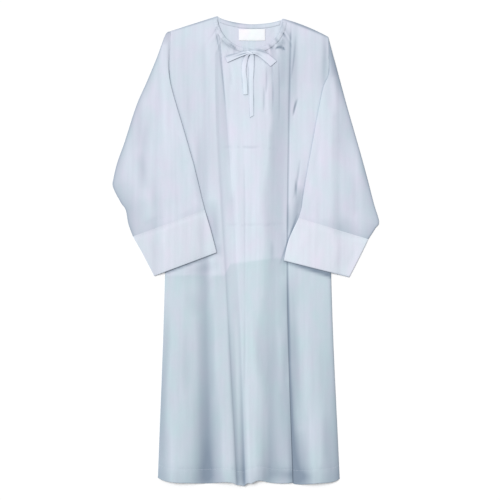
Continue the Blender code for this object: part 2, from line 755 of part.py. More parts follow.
def make_knot(level, material):
    """Make the knot: a small rounded block of tape."""
    mesh = bpy.data.meshes.new("tie_knot")
    block = bmesh.new()
    bmesh.ops.create_cube(block, size=1.0)
    bmesh.ops.scale(block, vec=Vector(KNOT_SIZE) * MM, verts=block.verts)
    block.to_mesh(mesh)
    block.free()
    knot = bpy.data.objects.new("tie_knot", mesh)
    knot.location = Vector((*KNOT_CENTRE, level + KNOT_SIZE[2] / 2.0)) * MM
    ALB.objects.link(knot)
    mesh.materials.append(material)
    rounding = knot.modifiers.new("Rounding", "BEVEL")
    rounding.width = KNOT_ROUNDING * MM
    rounding.segments = 3
    return knot


def knot_floor(pile):
    """Return the height at which the knot lies clear of all under it."""
    return max(
        pile.rest(KNOT_CENTRE[0] + right, KNOT_CENTRE[1] + up, TAPE_REACH)
        for right in np.linspace(-KNOT_SIZE[0] / 2.0, KNOT_SIZE[0] / 2.0, 5)
        for up in np.linspace(-KNOT_SIZE[1] / 2.0, KNOT_SIZE[1] / 2.0, 3)
    )


def build_alb():
    """Make every piece of the alb, in the order in which they lie on each other."""
    cotton = cloth_material("white_cotton", WHITE_COTTON)
    doubled = cloth_material("doubled_cotton", DOUBLED_COTTON)
    tape = cloth_material("cotton_tape", DOUBLED_COTTON)
    woven = cloth_material("label_weave", LABEL_WHITE, roughness=0.6)

    pile = FloorPile()
    pile.add(make_back(cotton))
    make_back_casing(doubled)
    make_label(woven)
    pile.add(make_front(cotton))

    left_rows = beside_body(LEFT_SLEEVE, FRONT_LINES[0], -1.0)
    right_rows = beside_body(RIGHT_SLEEVE, FRONT_LINES[-1], 1.0)
    sleeves = (
        ("left", left_rows, LEFT_CUFF, LEFT_SLEEVE_FOLDS),
        ("right", right_rows, RIGHT_CUFF, RIGHT_SLEEVE_FOLDS),
    )
    for side, rows, cuff_rows, folds in sleeves:
        make_tube(f"sleeve_{side}", rows, SLEEVE_EDGE_HEIGHT, CLOTH, folds, pile, cotton)
        first, second = cuff_rows[0], cuff_rows[1]
        stretch = hypot(second.outer_x - first.outer_x, second.outer_y - first.outer_y)
        make_tube(f"cuff_{side}", cuff_rows, CUFF_EDGE_HEIGHT, DOUBLED_CLOTH, CUFF_FOLDS, pile,
                  doubled, start=2.0 * SEAM_GAP / stretch)

    pile.add(make_front_casing(pile, doubled))
    level = knot_floor(pile)
    root = level + TAPE_ROOT_RISE
    make_tail("tie_tail_left", TAIL_LEFT, pile, root, tape)
    make_tail("tie_tail_right", TAIL_RIGHT, pile, root, tape)
    make_loop("tie_loop_left", LOOP_LEFT, pile, root, tape)
    make_loop("tie_loop_right", LOOP_RIGHT, pile, root, tape)
    make_knot(level, tape)


clear_scene()
ALB = bpy.data.collections.new("alb")
bpy.context.scene.collection.children.link(ALB)
build_alb()
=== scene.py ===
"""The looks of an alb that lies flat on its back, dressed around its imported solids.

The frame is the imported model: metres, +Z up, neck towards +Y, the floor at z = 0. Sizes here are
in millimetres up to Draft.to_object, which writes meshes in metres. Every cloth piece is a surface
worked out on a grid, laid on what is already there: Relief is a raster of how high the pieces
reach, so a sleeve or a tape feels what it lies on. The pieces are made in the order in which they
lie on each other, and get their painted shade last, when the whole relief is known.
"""

from __future__ import annotations

import json
import logging
import math
from dataclasses import dataclass, field
from enum import Enum
from typing import ClassVar, TypeVar

import bpy
import numpy as np
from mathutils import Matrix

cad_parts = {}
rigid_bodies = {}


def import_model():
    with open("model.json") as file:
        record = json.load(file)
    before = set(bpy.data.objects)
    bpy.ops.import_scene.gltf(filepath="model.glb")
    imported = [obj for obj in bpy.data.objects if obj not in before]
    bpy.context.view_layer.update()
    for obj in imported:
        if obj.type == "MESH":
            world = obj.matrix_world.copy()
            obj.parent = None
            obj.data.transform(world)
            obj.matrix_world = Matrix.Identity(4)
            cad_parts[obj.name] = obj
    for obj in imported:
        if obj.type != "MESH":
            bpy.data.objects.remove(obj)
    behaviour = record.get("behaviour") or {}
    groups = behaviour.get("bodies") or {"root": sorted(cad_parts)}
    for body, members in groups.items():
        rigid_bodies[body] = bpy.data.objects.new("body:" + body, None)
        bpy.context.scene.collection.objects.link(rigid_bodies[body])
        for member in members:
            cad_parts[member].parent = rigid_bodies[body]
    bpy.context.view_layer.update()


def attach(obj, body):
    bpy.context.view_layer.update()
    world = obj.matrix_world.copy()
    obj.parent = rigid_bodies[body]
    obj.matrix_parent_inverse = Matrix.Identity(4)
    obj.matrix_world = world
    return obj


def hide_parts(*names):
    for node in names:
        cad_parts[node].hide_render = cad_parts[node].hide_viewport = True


MM = 0.001
TAU = math.tau
BODY = "root"
ON_BACK, ON_FRONT = ("back_panel_cloth",), ("front_panel_cloth",)
ON_CASING = ("neck_casing_front_cloth",)

# What the pieces share with the solids, but for the shoulders' bulge, in millimetres
BACK_TOP = 1.0  # upper side of the back panel
FRONT_TOP = 2.3  # upper side of the front where it has no fold
CLOTH = 0.55  # one layer of cloth
NECK_CENTRE_X = 11.6
NECK_HALF_WIDTH = 94.4
NECK_PEAK_LEFT_Y = 685.0
NECK_PEAK_RIGHT_Y = 677.5
FRONT_NECK_DEPTH = 92.0
BACK_NECK_DEPTH = 20.0
BACK_NECK_POWER = 1.6  # 2 is half an ellipse, less has flatter sides
SHOULDER_LEFT = (-220.0, 641.0)
SHOULDER_RIGHT = (240.0, 624.0)
# How far a shoulder line rises over a straight one. The solids' rise 4.5 and 6.5.
SHOULDER_BULGE_LEFT = 0.0
SHOULDER_BULGE_RIGHT = 5.0
CHEST_Y = 353.0
HIP_Y = -100.0
KNEE_Y = -400.0
CASING_WIDTH = 13.0

PATH_POINTS = 900  # points of a path that is sewn

LOG = logging.getLogger("alb")

Array = np.ndarray
Node, Socket, Material = bpy.types.Node, bpy.types.NodeSocket, bpy.types.Material
Triple = tuple[float, float, float]
Row = TypeVar("Row")


# Small mathematics

def table(kind: type[Row], *rows: tuple[float | str, ...]) -> tuple[Row, ...]:
    """Return rows as things of one kind, each row in the order of its fields."""
    return tuple(kind(*row) for row in rows)


def running(steps: Array) -> Array:
    """Return the running totals of steps, from 0."""
    return np.concatenate(([0.0], np.cumsum(steps)))


def smoothstep(value: Array | float) -> Array:
    """Return 0 below 0, 1 above 1 and an eased value between."""
    value = np.clip(value, 0.0, 1.0)
    return value * value * (3.0 - 2.0 * value)


def share_between(value: Array, low: float, high: float) -> Array:
    """Return where a value lies between two ends, 0 to 1."""
    return np.clip((value - low) / (high - low), 0.0, 1.0)


def signed_power(value: Array, exponent: float) -> Array:
    """Return a power that keeps the sign."""
    return np.sign(value) * np.abs(value) ** exponent


def spline(stations: Array, values: Array, at: Array, level_turns: bool = False) -> Array:
    """Return a cubic Hermite curve through values at stations.

    Its slope at a station is the mean of the slopes beside it. With level_turns it is their
    harmonic mean, and 0 where the values turn, so the curve never swings past them.

    Args:
        stations: the values' places, increasing.
        values: stations x anything.
        at: the places to read.
        level_turns: keep the curve between its values.

    Returns:
        The curve's values, places x anything.
    """
    stations = np.asarray(stations, dtype=float)
    values = np.asarray(values, dtype=float)
    at = np.asarray(at, dtype=float)
    tail = (1,) * (values.ndim - 1)
    secants = np.diff(values, axis=0) / np.diff(stations).reshape(-1, *tail)
    before, after = secants[:-1], secants[1:]
    middle = (before + after) / 2.0
    if level_turns:
        product = before * after
        middle = np.where(product > 0.0, product / np.where(middle == 0.0, 1.0, middle), 0.0)
    slopes = np.concatenate((secants[:1], middle, secants[-1:]))
    span = np.clip(np.searchsorted(stations, at, side="right") - 1, 0, len(stations) - 2)
    width = (stations[span + 1] - stations[span]).reshape(-1, *tail)
    part = np.clip((at - stations[span]).reshape(-1, *tail) / width, 0.0, 1.0)
    square, cube = part ** 2, part ** 3
    return ((2 * cube - 3 * square + 1) * values[span]
            + (cube - 2 * square + part) * width * slopes[span]
            + (3 * square - 2 * cube) * values[span + 1]
            + (cube - square) * width * slopes[span + 1])


def bell(distance: Array, width: float) -> Array:
    """Return a bell curve: 1 in its middle, and 1/e one width away."""
    return np.exp(-(distance / width) ** 2)


def crowded(count: int, *crowds: Triple) -> Array:
    """Return count places from 0 to 1, closer together around some of them.

    Args:
        count: how many places.
        crowds: (centre, reach, how many times closer) of each crowd.

    Returns:
        The places, increasing.
    """
    fine = np.linspace(0.0, 1.0, 2000)
    density = np.ones_like(fine)
    for centre, reach, times in crowds:
        density += times * bell(fine - centre, reach)
    total = running((density[1:] + density[:-1]) / 2.0)
    return np.interp(np.linspace(0.0, total[-1], count), total, fine)


def bilinear(grid: Array, row: Array, column: Array) -> Array:
    """Return a grid's values at fractional rows and columns, mixed from four neighbours each."""
    low_row = np.clip(np.floor(row).astype(int), 0, grid.shape[0] - 2)
    low_column = np.clip(np.floor(column).astype(int), 0, grid.shape[1] - 2)
    up, across = row - low_row, column - low_column
    if grid.ndim == 3:
        up, across = up[..., None], across[..., None]
    below = (1 - across) * grid[low_row, low_column] + across * grid[low_row, low_column + 1]
    high_row = low_row + 1
    above = (1 - across) * grid[high_row, low_column] + across * grid[high_row, low_column + 1]
    return (1 - up) * below + up * above


def blurred(values: Array, reach: int, passes: int = 2) -> Array:
    """Return a raster whose cells are means of the squares around them, taken a few times over."""
    for _ in range(passes):
        for axis in (0, 1):
            pad = [(0, 0), (0, 0)]
            pad[axis] = (reach + 1, reach)
            total = np.cumsum(np.pad(values, pad, mode="edge"), axis=axis)
            size = values.shape[axis]
            high = np.take(total, np.arange(2 * reach + 1, 2 * reach + 1 + size), axis=axis)
            low = np.take(total, np.arange(size), axis=axis)
            values = (high - low) / (2 * reach + 1)
    return values


def quarter_round(share: Array) -> Array:
    """Return the height of a quarter of a circle, from 0 at its edge to 1 at share 1 and beyond."""
    return np.sqrt(np.clip(1.0 - (1.0 - np.clip(share, 0.0, 1.0)) ** 2, 0.0, 1.0))


def spread(values: Array, like: Array) -> Array:
    """Return a row or column of values repeated along another one, as a whole grid."""
    return values + np.zeros_like(like)


def read_along(marks: Array, along: Array, values: Array) -> Array:
    """Return a path's values, points x 3, at lengths along it."""
    return np.stack([np.interp(marks, along, values[:, k]) for k in range(3)], axis=-1)


def unit(vectors: Array) -> Array:
    """Return vectors of length 1, along the last axis."""
    return vectors / np.maximum(np.linalg.norm(vectors, axis=-1, keepdims=True), 1e-9)


def resampled(points: Array, count: int) -> Array:
    """Return count points evenly along the smooth curve through points.

    The points' first two columns are x and y, and the others go along with them.
    """
    steps = np.hypot(np.diff(points[:, 0]), np.diff(points[:, 1]))
    along = running(steps)
    return spline(along, points, np.linspace(0.0, along[-1], count))


# The garment's outline

def neck_rim(x: Array) -> Array:
    """Return the height of the straight line between the neck's two peaks."""
    share = (x - NECK_CENTRE_X + NECK_HALF_WIDTH) / (2.0 * NECK_HALF_WIDTH)
    return NECK_PEAK_LEFT_Y + (NECK_PEAK_RIGHT_Y - NECK_PEAK_LEFT_Y) * share


def neck_y(x: Array, depth: float, power: float = 2.0) -> Array:
    """Return a neckline's y: half an ellipse below the rim for power 2, flatter sides for less."""
    across = np.clip(np.abs(x - NECK_CENTRE_X) / NECK_HALF_WIDTH, 0.0, 1.0)
    return neck_rim(x) - depth * (1.0 - across ** power) ** (1.0 / power)


def top_y(x: Array, depth: float = FRONT_NECK_DEPTH, power: float = 2.0) -> Array:
    """Return a panel's top edge.

    It is the neckline between the peaks, and outside them a shoulder line, bulged as a parabola.
    """
    left = x < NECK_CENTRE_X
    peak_x = np.where(left, NECK_CENTRE_X - NECK_HALF_WIDTH, NECK_CENTRE_X + NECK_HALF_WIDTH)
    peak_y = np.where(left, NECK_PEAK_LEFT_Y, NECK_PEAK_RIGHT_Y)
    tip_x = np.where(left, SHOULDER_LEFT[0], SHOULDER_RIGHT[0])
    tip_y = np.where(left, SHOULDER_LEFT[1], SHOULDER_RIGHT[1])
    bulge = np.where(left, SHOULDER_BULGE_LEFT, SHOULDER_BULGE_RIGHT)
    share = (x - peak_x) / (tip_x - peak_x)
    shoulder = peak_y + (tip_y - peak_y) * share + bulge * 4.0 * share * (1.0 - share)
    return np.where(np.abs(x - NECK_CENTRE_X) <= NECK_HALF_WIDTH, neck_y(x, depth, power), shoulder)


# Creases

class Fade(Enum):
    """Where a crease dies away."""

    BOTH_ENDS = "both"
    FAR_END = "far"


@dataclass(frozen=True)
class Crease:
    """A soft ridge (lift above 0) or trough along a bowed line on the cloth.

    Its height is lift times a bell curve across the line, and fades towards its ends.
    """

    x: float
    y: float
    end_x: float
    end_y: float
    width: float
    lift: float
    bow: float = 0.0
    fade: Fade = Fade.BOTH_ENDS

    def height(self, x: Array, y: Array) -> Array:
        """Return the crease's height at places on the cloth.

        Args:
            x: the places' x.
            y: the places' y.

        Returns:
            The heights, an array like x.
        """
        way = np.array((self.end_x - self.x, self.end_y - self.y), dtype=float)
        length = float(np.linalg.norm(way))
        way /= length
        along = ((x - self.x) * way[0] + (y - self.y) * way[1]) / length
        across = (y - self.y) * way[0] - (x - self.x) * way[1]
        share = np.clip(along, 0.0, 1.0)
        across = across - self.bow * 4.0 * share * (1.0 - share)
        ridge = bell(across, self.width)
        if self.fade is Fade.BOTH_ENDS:
            window = np.sin(math.pi * share) ** 0.7
        else:
            window = np.where(along < 0.0, np.exp(-(along * length / 4.0) ** 2), (1.0 - share) ** 1.4)
        return self.lift * ridge * window


def crease_height(table: tuple[Crease, ...] | list[Crease], x: Array,
                  y: Array) -> Array:
    """Return the summed height of creases at places on the cloth."""
    height = np.zeros_like(x)
    for crease in table:
        height += crease.height(x, y)
    return height


# The relief that pieces are laid on

class Relief:
    """A raster over the floor that holds how high the pieces laid so far reach."""

    CELL = 1.0
    LEFT, RIGHT, BOTTOM, TOP = -420.0, 420.0, -720.0, 720.0
    GAP = 0.25  # left between two pieces that touch
    OVERLAP = 1.3  # how many points are read for each cell that a surface covers
    SMOOTHING = 3  # cells that draped cloth is smoothed over, each way
    DIRECTIONS = 16  # ways in which the sky's share is measured
    KEY_TURN = 2.45  # the turn in which the light stands, and how much more it counts
    KEY_WEIGHT = 0.4

    def __init__(self) -> None:
        """Start with the bare floor."""
        rows = int((self.TOP - self.BOTTOM) / self.CELL) + 1
        columns = int((self.RIGHT - self.LEFT) / self.CELL) + 1
        self.height = np.zeros((rows, columns))

    def add(self, points: Array) -> None:
        """Raise the relief to a surface.

        The surface's grid is read so finely that no cell is skipped, and each cell keeps the
        highest value.

        Args:
            points: rows x columns x 3.
        """
        rows, columns = points.shape[:2]
        down = np.linalg.norm(np.diff(points[..., :2], axis=0), axis=2).max() / self.CELL
        wide = np.linalg.norm(np.diff(points[..., :2], axis=1), axis=2).max() / self.CELL
        fine_rows = int(rows * max(1.0, down * self.OVERLAP))
        fine_columns = int(columns * max(1.0, wide * self.OVERLAP))
        row, column = np.meshgrid(np.linspace(0, rows - 1, fine_rows),
                                  np.linspace(0, columns - 1, fine_columns), indexing="ij")
        x, y, z = np.moveaxis(bilinear(points, row, column), -1, 0)
        last_row, last_column = self.height.shape[0] - 1, self.height.shape[1] - 1
        cell_row = np.clip(np.rint((y - self.BOTTOM) / self.CELL).astype(int), 0, last_row)
        cell_column = np.clip(np.rint((x - self.LEFT) / self.CELL).astype(int), 0, last_column)
        np.maximum.at(self.height, (cell_row, cell_column), z)

    def read(self, raster: Array, x: Array, y: Array) -> Array:
        """Return a raster's values at places, mixed from the four cells around each."""
        return bilinear(raster, (y - self.BOTTOM) / self.CELL, (x - self.LEFT) / self.CELL)

    def draped(self, reach: float, slope: float) -> Array:
        """Return the height of cloth that lies on the relief.

        It clears all within reach, then falls off a raised edge by slope, as a tent, and is
        smoothed.
        """
        raster = np.where(self.height > 0.0, self.height + self.GAP, 0.0)
        flat_steps = int(reach / self.CELL)
        for step in range(flat_steps * 4):
            fall = 0.0 if step < flat_steps else slope * self.CELL
            best = raster
            for axis in (0, 1):
                for way in (-1, 1):
                    best = np.maximum(best, np.roll(raster, way, axis=axis) - fall)
            raster = best
        least = np.where(self.height > 0.0, self.height + self.GAP / 2, 0.0)
        return np.maximum(blurred(raster, self.SMOOTHING), least)

    def shade(self, under: Array, distances: tuple[int, ...], far_weight: float) -> Array:
        """Return how much of the sky the relief hides from each cell of a surface, 0 to about 0.9.

        In each direction the highest slope counts, a far one for more than a near one, and the
        direction that faces the light counts for more.

        Args:
            under: the surface's heights.
            distances: how far to look, in cells.
            far_weight: 0 measures true slopes; more lets far, high folds shade more.
        """
        total = np.zeros_like(self.height)
        weights = 0.0
        for index in range(self.DIRECTIONS):
            turn = TAU * index / self.DIRECTIONS
            horizon = np.zeros_like(self.height)
            for distance in distances:
                shift = (round(distance * math.sin(turn)), round(distance * math.cos(turn)))
                span = max(1.0, math.hypot(*shift))
                moved = np.roll(self.height, (-shift[0], -shift[1]), axis=(0, 1))
                horizon = np.maximum(horizon, (moved - under) / span ** (1.0 - far_weight))
            weight = 1.0 + self.KEY_WEIGHT * math.cos(turn - self.KEY_TURN)
            total += weight * horizon / np.sqrt(1.0 + horizon ** 2)
            weights += weight
        return blurred(total / weights, 1)


# Meshes

def placed(name: str, data: bpy.types.ID) -> bpy.types.Object:
    """Return a new object of the scene that shows some data."""
    item = bpy.data.objects.new(name, data)
    bpy.context.scene.collection.objects.link(item)
    return item


def written(name: str, points: Array, faces: Array) -> bpy.types.Mesh:
    """Return a smooth mesh in metres of points in millimetres."""
    mesh = bpy.data.meshes.new(name)
    mesh.from_pydata((points * MM).tolist(), [], faces.tolist())
    mesh.shade_smooth()
    return mesh


class Draft:
    """Grids of points gathered into one mesh, with their faces and the cloth's own coordinates."""

    def __init__(self, name: str) -> None:
        """Start an empty draft."""
        self.name = name
        self.points: list[Array] = []
        self.faces: list[Array] = []
        self.coordinates: list[Array] = []
        self.count = 0
        # Painted shade that each point adds to its colour (below 0, painted light), or None
        self.tone: Array | None = None

    def add_grid(self, points: Array, closed: bool = False, inward: bool = False) -> Array:
        """Add a grid of quads.

        The cloth's coordinates are the lengths along the grid's two ways, in metres: across it
        in each row, and along it in each column.

        Args:
            points: rows x columns x 3, in millimetres.
            closed: join the last column to the first.
            inward: turn the faces round.

        Returns:
            The numbers of the points, rows x columns.
        """
        rows, columns = points.shape[:2]
        numbers = np.arange(rows * columns).reshape(rows, columns) + self.count
        wide = np.concatenate((points, points[:, :1]), axis=1) if closed else points
        index = np.concatenate((numbers, numbers[:, :1]), axis=1) if closed else numbers
        across = np.cumsum(np.linalg.norm(np.diff(wide, axis=1), axis=2), axis=1)
        across = np.concatenate((np.zeros((rows, 1)), across), axis=1)
        across -= across[:, across.shape[1] // 2][:, None]
        along = np.cumsum(np.linalg.norm(np.diff(wide, axis=0), axis=2), axis=0)
        along = np.concatenate((np.zeros((1, wide.shape[1])), along), axis=0)
        place = np.stack((across, along), axis=-1) * MM
        order = ((0, 0), (0, 1), (1, 1), (1, 0))
        if inward:
            order = order[::-1]
        high_row, high_column = index.shape[0] - 1, index.shape[1] - 1
        self.faces.append(np.stack([index[r:high_row + r, c:high_column + c] for r, c in order],
                                   axis=-1).reshape(-1, 4))
        self.coordinates.append(np.stack([place[r:high_row + r, c:high_column + c] for r, c in order],
                                         axis=2).reshape(-1, 2))
        self.points.append(points.reshape(-1, 3))
        self.count += rows * columns
        return numbers

    def add_rim(self, first: Array, second: Array) -> None:
        """Join two rings of points by quads: the open end of a tube with two skins.

        Args:
            first: numbers of the points on the side that the new faces' normals turn away from.
            second: numbers of the points opposite them.
        """
        first, second = np.append(first, first[0]), np.append(second, second[0])
        quads = np.stack((first[:-1], first[1:], second[1:], second[:-1]), axis=-1)
        self.faces.append(quads)
        self.coordinates.append(np.zeros((len(quads) * 4, 2)))

    def add_pole(self, ring: Array, point: Array, first: bool) -> None:
        """Close a tube's end with quads from one point to every second edge of its last ring.

        Args:
            ring: numbers of the ring's points, an even count.
            point: the pole's place.
            first: whether the ring is the first row of its grid.
        """
        ring = ring[::-1] if first else ring
        pole = np.full(len(ring) // 2, self.count)
        quads = np.stack((pole, ring[0::2], ring[1::2], np.roll(ring, -2)[0::2]), axis=-1)
        self.faces.append(quads)
        self.coordinates.append(np.zeros((len(quads) * 4, 2)))
        self.points.append(point.reshape(1, 3))
        self.count += 1

    def to_object(self, values: dict[str, Array] | None = None) -> bpy.types.Object:
        """Write the mesh in metres, with its coordinates as a UV map.

        Args:
            values: a name and one number per point for each attribute.

        Returns:
            The mesh's object.
        """
        mesh = written(self.name, np.concatenate(self.points), np.concatenate(self.faces))
        layer = mesh.uv_layers.new(name="cloth")
        layer.data.foreach_set("uv", np.concatenate(self.coordinates).astype(np.float32).ravel())
        for name, numbers in (values or {}).items():
            attribute = mesh.attributes.new(name, "FLOAT", "POINT")
            attribute.data.foreach_set("value", numbers.astype(np.float32))
        return placed(self.name, mesh)


def lay_grid(name: str, points: Array, relief: Relief) -> Draft:
    """Return a draft of one grid, which raises the relief."""
    draft = Draft(name)
    draft.add_grid(points)
    relief.add(points)
    return draft


# Finishes

class Weave(Enum):
    """How a cloth's threads cross."""

    PLAIN = "plain"
    SATIN = "satin"


class NodeSheet:
    """A short way to write a material's nodes."""

    def __init__(self, name: str) -> None:
        """Make a material that has only its shader and its output."""
        self.material = bpy.data.materials.new(name)
        self.material.use_nodes = True
        self.tree = self.material.node_tree
        self.shader = self.tree.nodes["Principled BSDF"]

    def node(self, kind: str, **settings: object) -> Node:
        """Add a node and set some of its properties."""
        made = self.tree.nodes.new(kind)
        for key, value in settings.items():
            setattr(made, key, value)
        return made

    def give(self, socket: Socket, value: object) -> None:
        """Link a socket to another one, or set its value."""
        if isinstance(value, Socket):
            self.tree.links.new(value, socket)
        else:
            socket.default_value = value

    def fill(self, node: Node, **values: object) -> None:
        """Give several of a node's sockets, whose names are written with _ for a space."""
        for name, value in values.items():
            self.give(node.inputs[name.replace("_", " ")], value)

    def math(self, operation: str, first: object, second: object = 0.0) -> Socket:
        """Return the outcome of an operation on two numbers."""
        made = self.node("ShaderNodeMath", operation=operation)
        self.give(made.inputs[0], first)
        self.give(made.inputs[1], second)
        return made.outputs[0]

    def mix(self, share: object, first: object, second: object,
            how: str = "MIX") -> Socket:
        """Return a mix of two colours."""
        made = self.node("ShaderNodeMix", data_type="RGBA", blend_type=how)
        self.give(made.inputs["Factor"], share)
        self.give(made.inputs[6], first)
        self.give(made.inputs[7], second)
        return made.outputs[2]

    def noise(self, place: Socket, scale: Triple,
              detail: float = 3.0) -> Socket:
        """Return noise from 0 to 1, whose scale is how often it repeats in a metre each way."""
        stretch = self.node("ShaderNodeMapping")
        self.fill(stretch, Vector=place, Scale=scale)
        made = self.node("ShaderNodeTexNoise")
        self.fill(made, Vector=stretch.outputs[0], Scale=1.0, Detail=detail)
        return made.outputs["Fac"]

    def attribute(self, name: str) -> Socket:
        """Return a number that the mesh holds at its points."""
        return self.node("ShaderNodeAttribute", attribute_name=name).outputs["Fac"]

    def ranged(self, value: Socket, low: float, high: float) -> Socket:
        """Return a number from 0 to 1 stretched from low to high."""
        made = self.node("ShaderNodeMapRange")
        self.fill(made, Value=value, To_Min=low, To_Max=high)
        return made.outputs[0]

    def grey(self, value: Socket) -> Socket:
        """Return a number as a grey colour."""
        made = self.node("ShaderNodeCombineColor")
        for channel in made.inputs:
            self.give(channel, value)
        return made.outputs[0]


@dataclass(frozen=True)
class ClothFinish:
    """A woven cotton, whose threads follow the cloth.

    upper and lower are the cloth's colour above and below the hip, painted_shade the darker colour
    painted in as shade between folds, thread the distance between threads in metres, and crumple
    the height of its small unevenness in metres.
    """

    name: str
    upper: Triple
    lower: Triple
    painted_shade: Triple
    weave: Weave = Weave.PLAIN
    thread: float = 0.0005
    thread_height: float = 0.00009
    crumple: float = 0.0006
    roughness: float = 0.86
    unevenness: float = 0.06  # how far the roughness wanders each way
    sheen: float = 0.04
    mottle: float = 0.06
    warm: Triple = (1.035, 0.970, 1.01)
    cool: Triple = (0.940, 1.010, 0.99)

    def build(self) -> Material:
        """Make the material."""
        sheet = NodeSheet(self.name)
        cloth = sheet.node("ShaderNodeUVMap", uv_map="cloth").outputs[0]
        place = sheet.node("ShaderNodeTexCoord").outputs["Object"]
        colour = sheet.mix(sheet.attribute("lower"), (*self.upper, 1.0), (*self.lower, 1.0))
        tint = sheet.mix(sheet.ranged(sheet.noise(place, (24.0, 13.0, 24.0), 3.0), -0.6, 1.6),
                         (*self.warm, 1.0), (*self.cool, 1.0))
        colour = sheet.mix(1.0, colour, tint, "MULTIPLY")
        darkest, lightest = 1.0 - self.mottle, 1.0 + self.mottle
        patches = sheet.ranged(sheet.noise(place, (11.0, 5.0, 11.0), 3.0), darkest, lightest)
        streaks = sheet.ranged(sheet.noise(place, (95.0, 5.0, 95.0), 3.0), darkest, lightest)
        patches = sheet.math("MULTIPLY", patches, streaks)
        slubs = sheet.ranged(sheet.noise(cloth, (1100.0, 45.0, 1.0), 2.0), 0.975, 1.025)
        picks = sheet.ranged(sheet.noise(cloth, (40.0, 900.0, 1.0), 2.0), 0.985, 1.015)
        tone = sheet.math("MULTIPLY", sheet.math("MULTIPLY", patches, slubs), picks)
        colour = sheet.mix(1.0, colour, sheet.grey(tone), "MULTIPLY")
        # Painted shade: the colour is mixed towards a darker one where the relief hides the sky
        colour = sheet.mix(sheet.attribute("painted_shade"), colour, (*self.painted_shade, 1.0))
        rough = sheet.ranged(sheet.noise(cloth, (300.0, 300.0, 1.0)),
                             self.roughness - self.unevenness, self.roughness + self.unevenness)
        soft = sheet.node("ShaderNodeBump")
        sheet.fill(soft, Height=sheet.noise(place, (55.0, 38.0, 55.0), 3.0),
                   Distance=self.crumple, Strength=0.6)
        fine = sheet.node("ShaderNodeBump")
        sheet.fill(fine, Height=self.threads(sheet, cloth), Normal=soft.outputs[0],
                   Distance=self.thread_height, Strength=0.5)
        sheet.fill(sheet.shader, Base_Color=colour, Roughness=rough, Sheen_Weight=self.sheen,
                   Sheen_Roughness=0.5, Specular_IOR_Level=0.25, Normal=fine.outputs[0])
        return sheet.material

    def threads(self, sheet: NodeSheet, cloth: Socket) -> Socket:
        """Return the threads' height.

        It is the product of two crossing waves in a plain weave, and one wave in a satin one.

        Args:
            sheet: the material's nodes.
            cloth: the cloth's own coordinates, in metres.

        Returns:
            The height, from about 0 to 1.
        """
        split = sheet.node("ShaderNodeSeparateXYZ")
        sheet.give(split.inputs[0], cloth)
        turns = math.pi / self.thread
        warp = sheet.math("SINE", sheet.math("MULTIPLY", split.outputs[0], turns))
        weft = sheet.math("SINE", sheet.math("MULTIPLY", split.outputs[1], turns))
        if self.weave is Weave.PLAIN:
            crossing = sheet.math("MULTIPLY", warp, weft)
        else:
            crossing = sheet.math("MULTIPLY", weft, 0.8)
        slub = sheet.noise(cloth, (1400.0, 60.0, 1.0), 1.0)
        return sheet.math("ADD", sheet.math("MULTIPLY", crossing, 0.5), slub)


@dataclass(frozen=True)
class ThreadFinish:
    """Sewing thread: twisted, a little glossier than the cloth."""

    name: str = "sewing_thread"
    colour: Triple = (0.74, 0.78, 0.85)

    def build(self) -> Material:
        """Make the material: a fine slanted twist, with painted shade in its grooves."""
        sheet = NodeSheet(self.name)
        place = sheet.node("ShaderNodeTexCoord").outputs["Object"]
        split = sheet.node("ShaderNodeSeparateXYZ")
        sheet.give(split.inputs[0], place)
        slant = sheet.math("ADD", split.outputs[0], split.outputs[1])
        twist = sheet.math("SINE", sheet.math("MULTIPLY", slant, TAU / 0.0006))
        shade = sheet.ranged(sheet.math("MULTIPLY", sheet.math("ADD", twist, 1.0), 0.5), 0.9, 1.0)
        colour = sheet.mix(1.0, (*self.colour, 1.0), sheet.grey(shade), "MULTIPLY")
        rough = sheet.ranged(sheet.noise(place, (900.0, 900.0, 900.0)), 0.5, 0.68)
        bump = sheet.node("ShaderNodeBump")
        sheet.fill(bump, Height=twist, Distance=0.00005)
        sheet.fill(sheet.shader, Base_Color=colour, Roughness=rough, Sheen_Weight=0.2,
                   Normal=bump.outputs[0])
        return sheet.material


@dataclass(frozen=True)
class FloorFinish:
    """The studio's pale floor: smooth painted board with a very faint grain."""

    name: str = "pale_floor"
    colour: Triple = (0.93, 0.93, 0.935)

    def build(self) -> Material:
        """Make the material."""
        sheet = NodeSheet(self.name)
        place = sheet.node("ShaderNodeTexCoord").outputs["Object"]
        grain = sheet.ranged(sheet.noise(place, (3.0, 3.0, 3.0), 4.0), 0.0, 1.0)
        darker = tuple(channel * 0.985 for channel in self.colour)
        colour = sheet.mix(grain, (*darker, 1.0), (*self.colour, 1.0))
        sheet.fill(sheet.shader, Base_Color=colour, Roughness=0.9, Specular_IOR_Level=0.1)
        return sheet.material


COTTON = ClothFinish("white_cotton", upper=(0.645, 0.690, 0.775), lower=(0.550, 0.632, 0.695),
                     painted_shade=(0.215, 0.270, 0.345))
DOUBLED = ClothFinish("doubled_cotton", upper=(0.668, 0.704, 0.780), lower=(0.668, 0.704, 0.780),
                      painted_shade=(0.27, 0.32, 0.40), crumple=0.0004)
TAPE_CLOTH = ClothFinish("cotton_tape", upper=(0.685, 0.735, 0.825), lower=(0.685, 0.735, 0.825),
                         painted_shade=(0.27, 0.33, 0.41), thread=0.0004, crumple=0.0003, sheen=0.03)
LABEL_WEAVE = ClothFinish("label_weave", upper=(0.86, 0.875, 0.90), lower=(0.86, 0.875, 0.90),
                          painted_shade=(0.6, 0.63, 0.68), weave=Weave.SATIN, thread=0.0003, thread_height=0.00005,
                          crumple=0.0002, roughness=0.55, sheen=0.05, mottle=0.01)


# Pieces of cloth

class Layer(Enum):
    """What shades a piece: the folds of the body, or all that lies on and around it."""

    BODY = "body"
    OVER = "over"


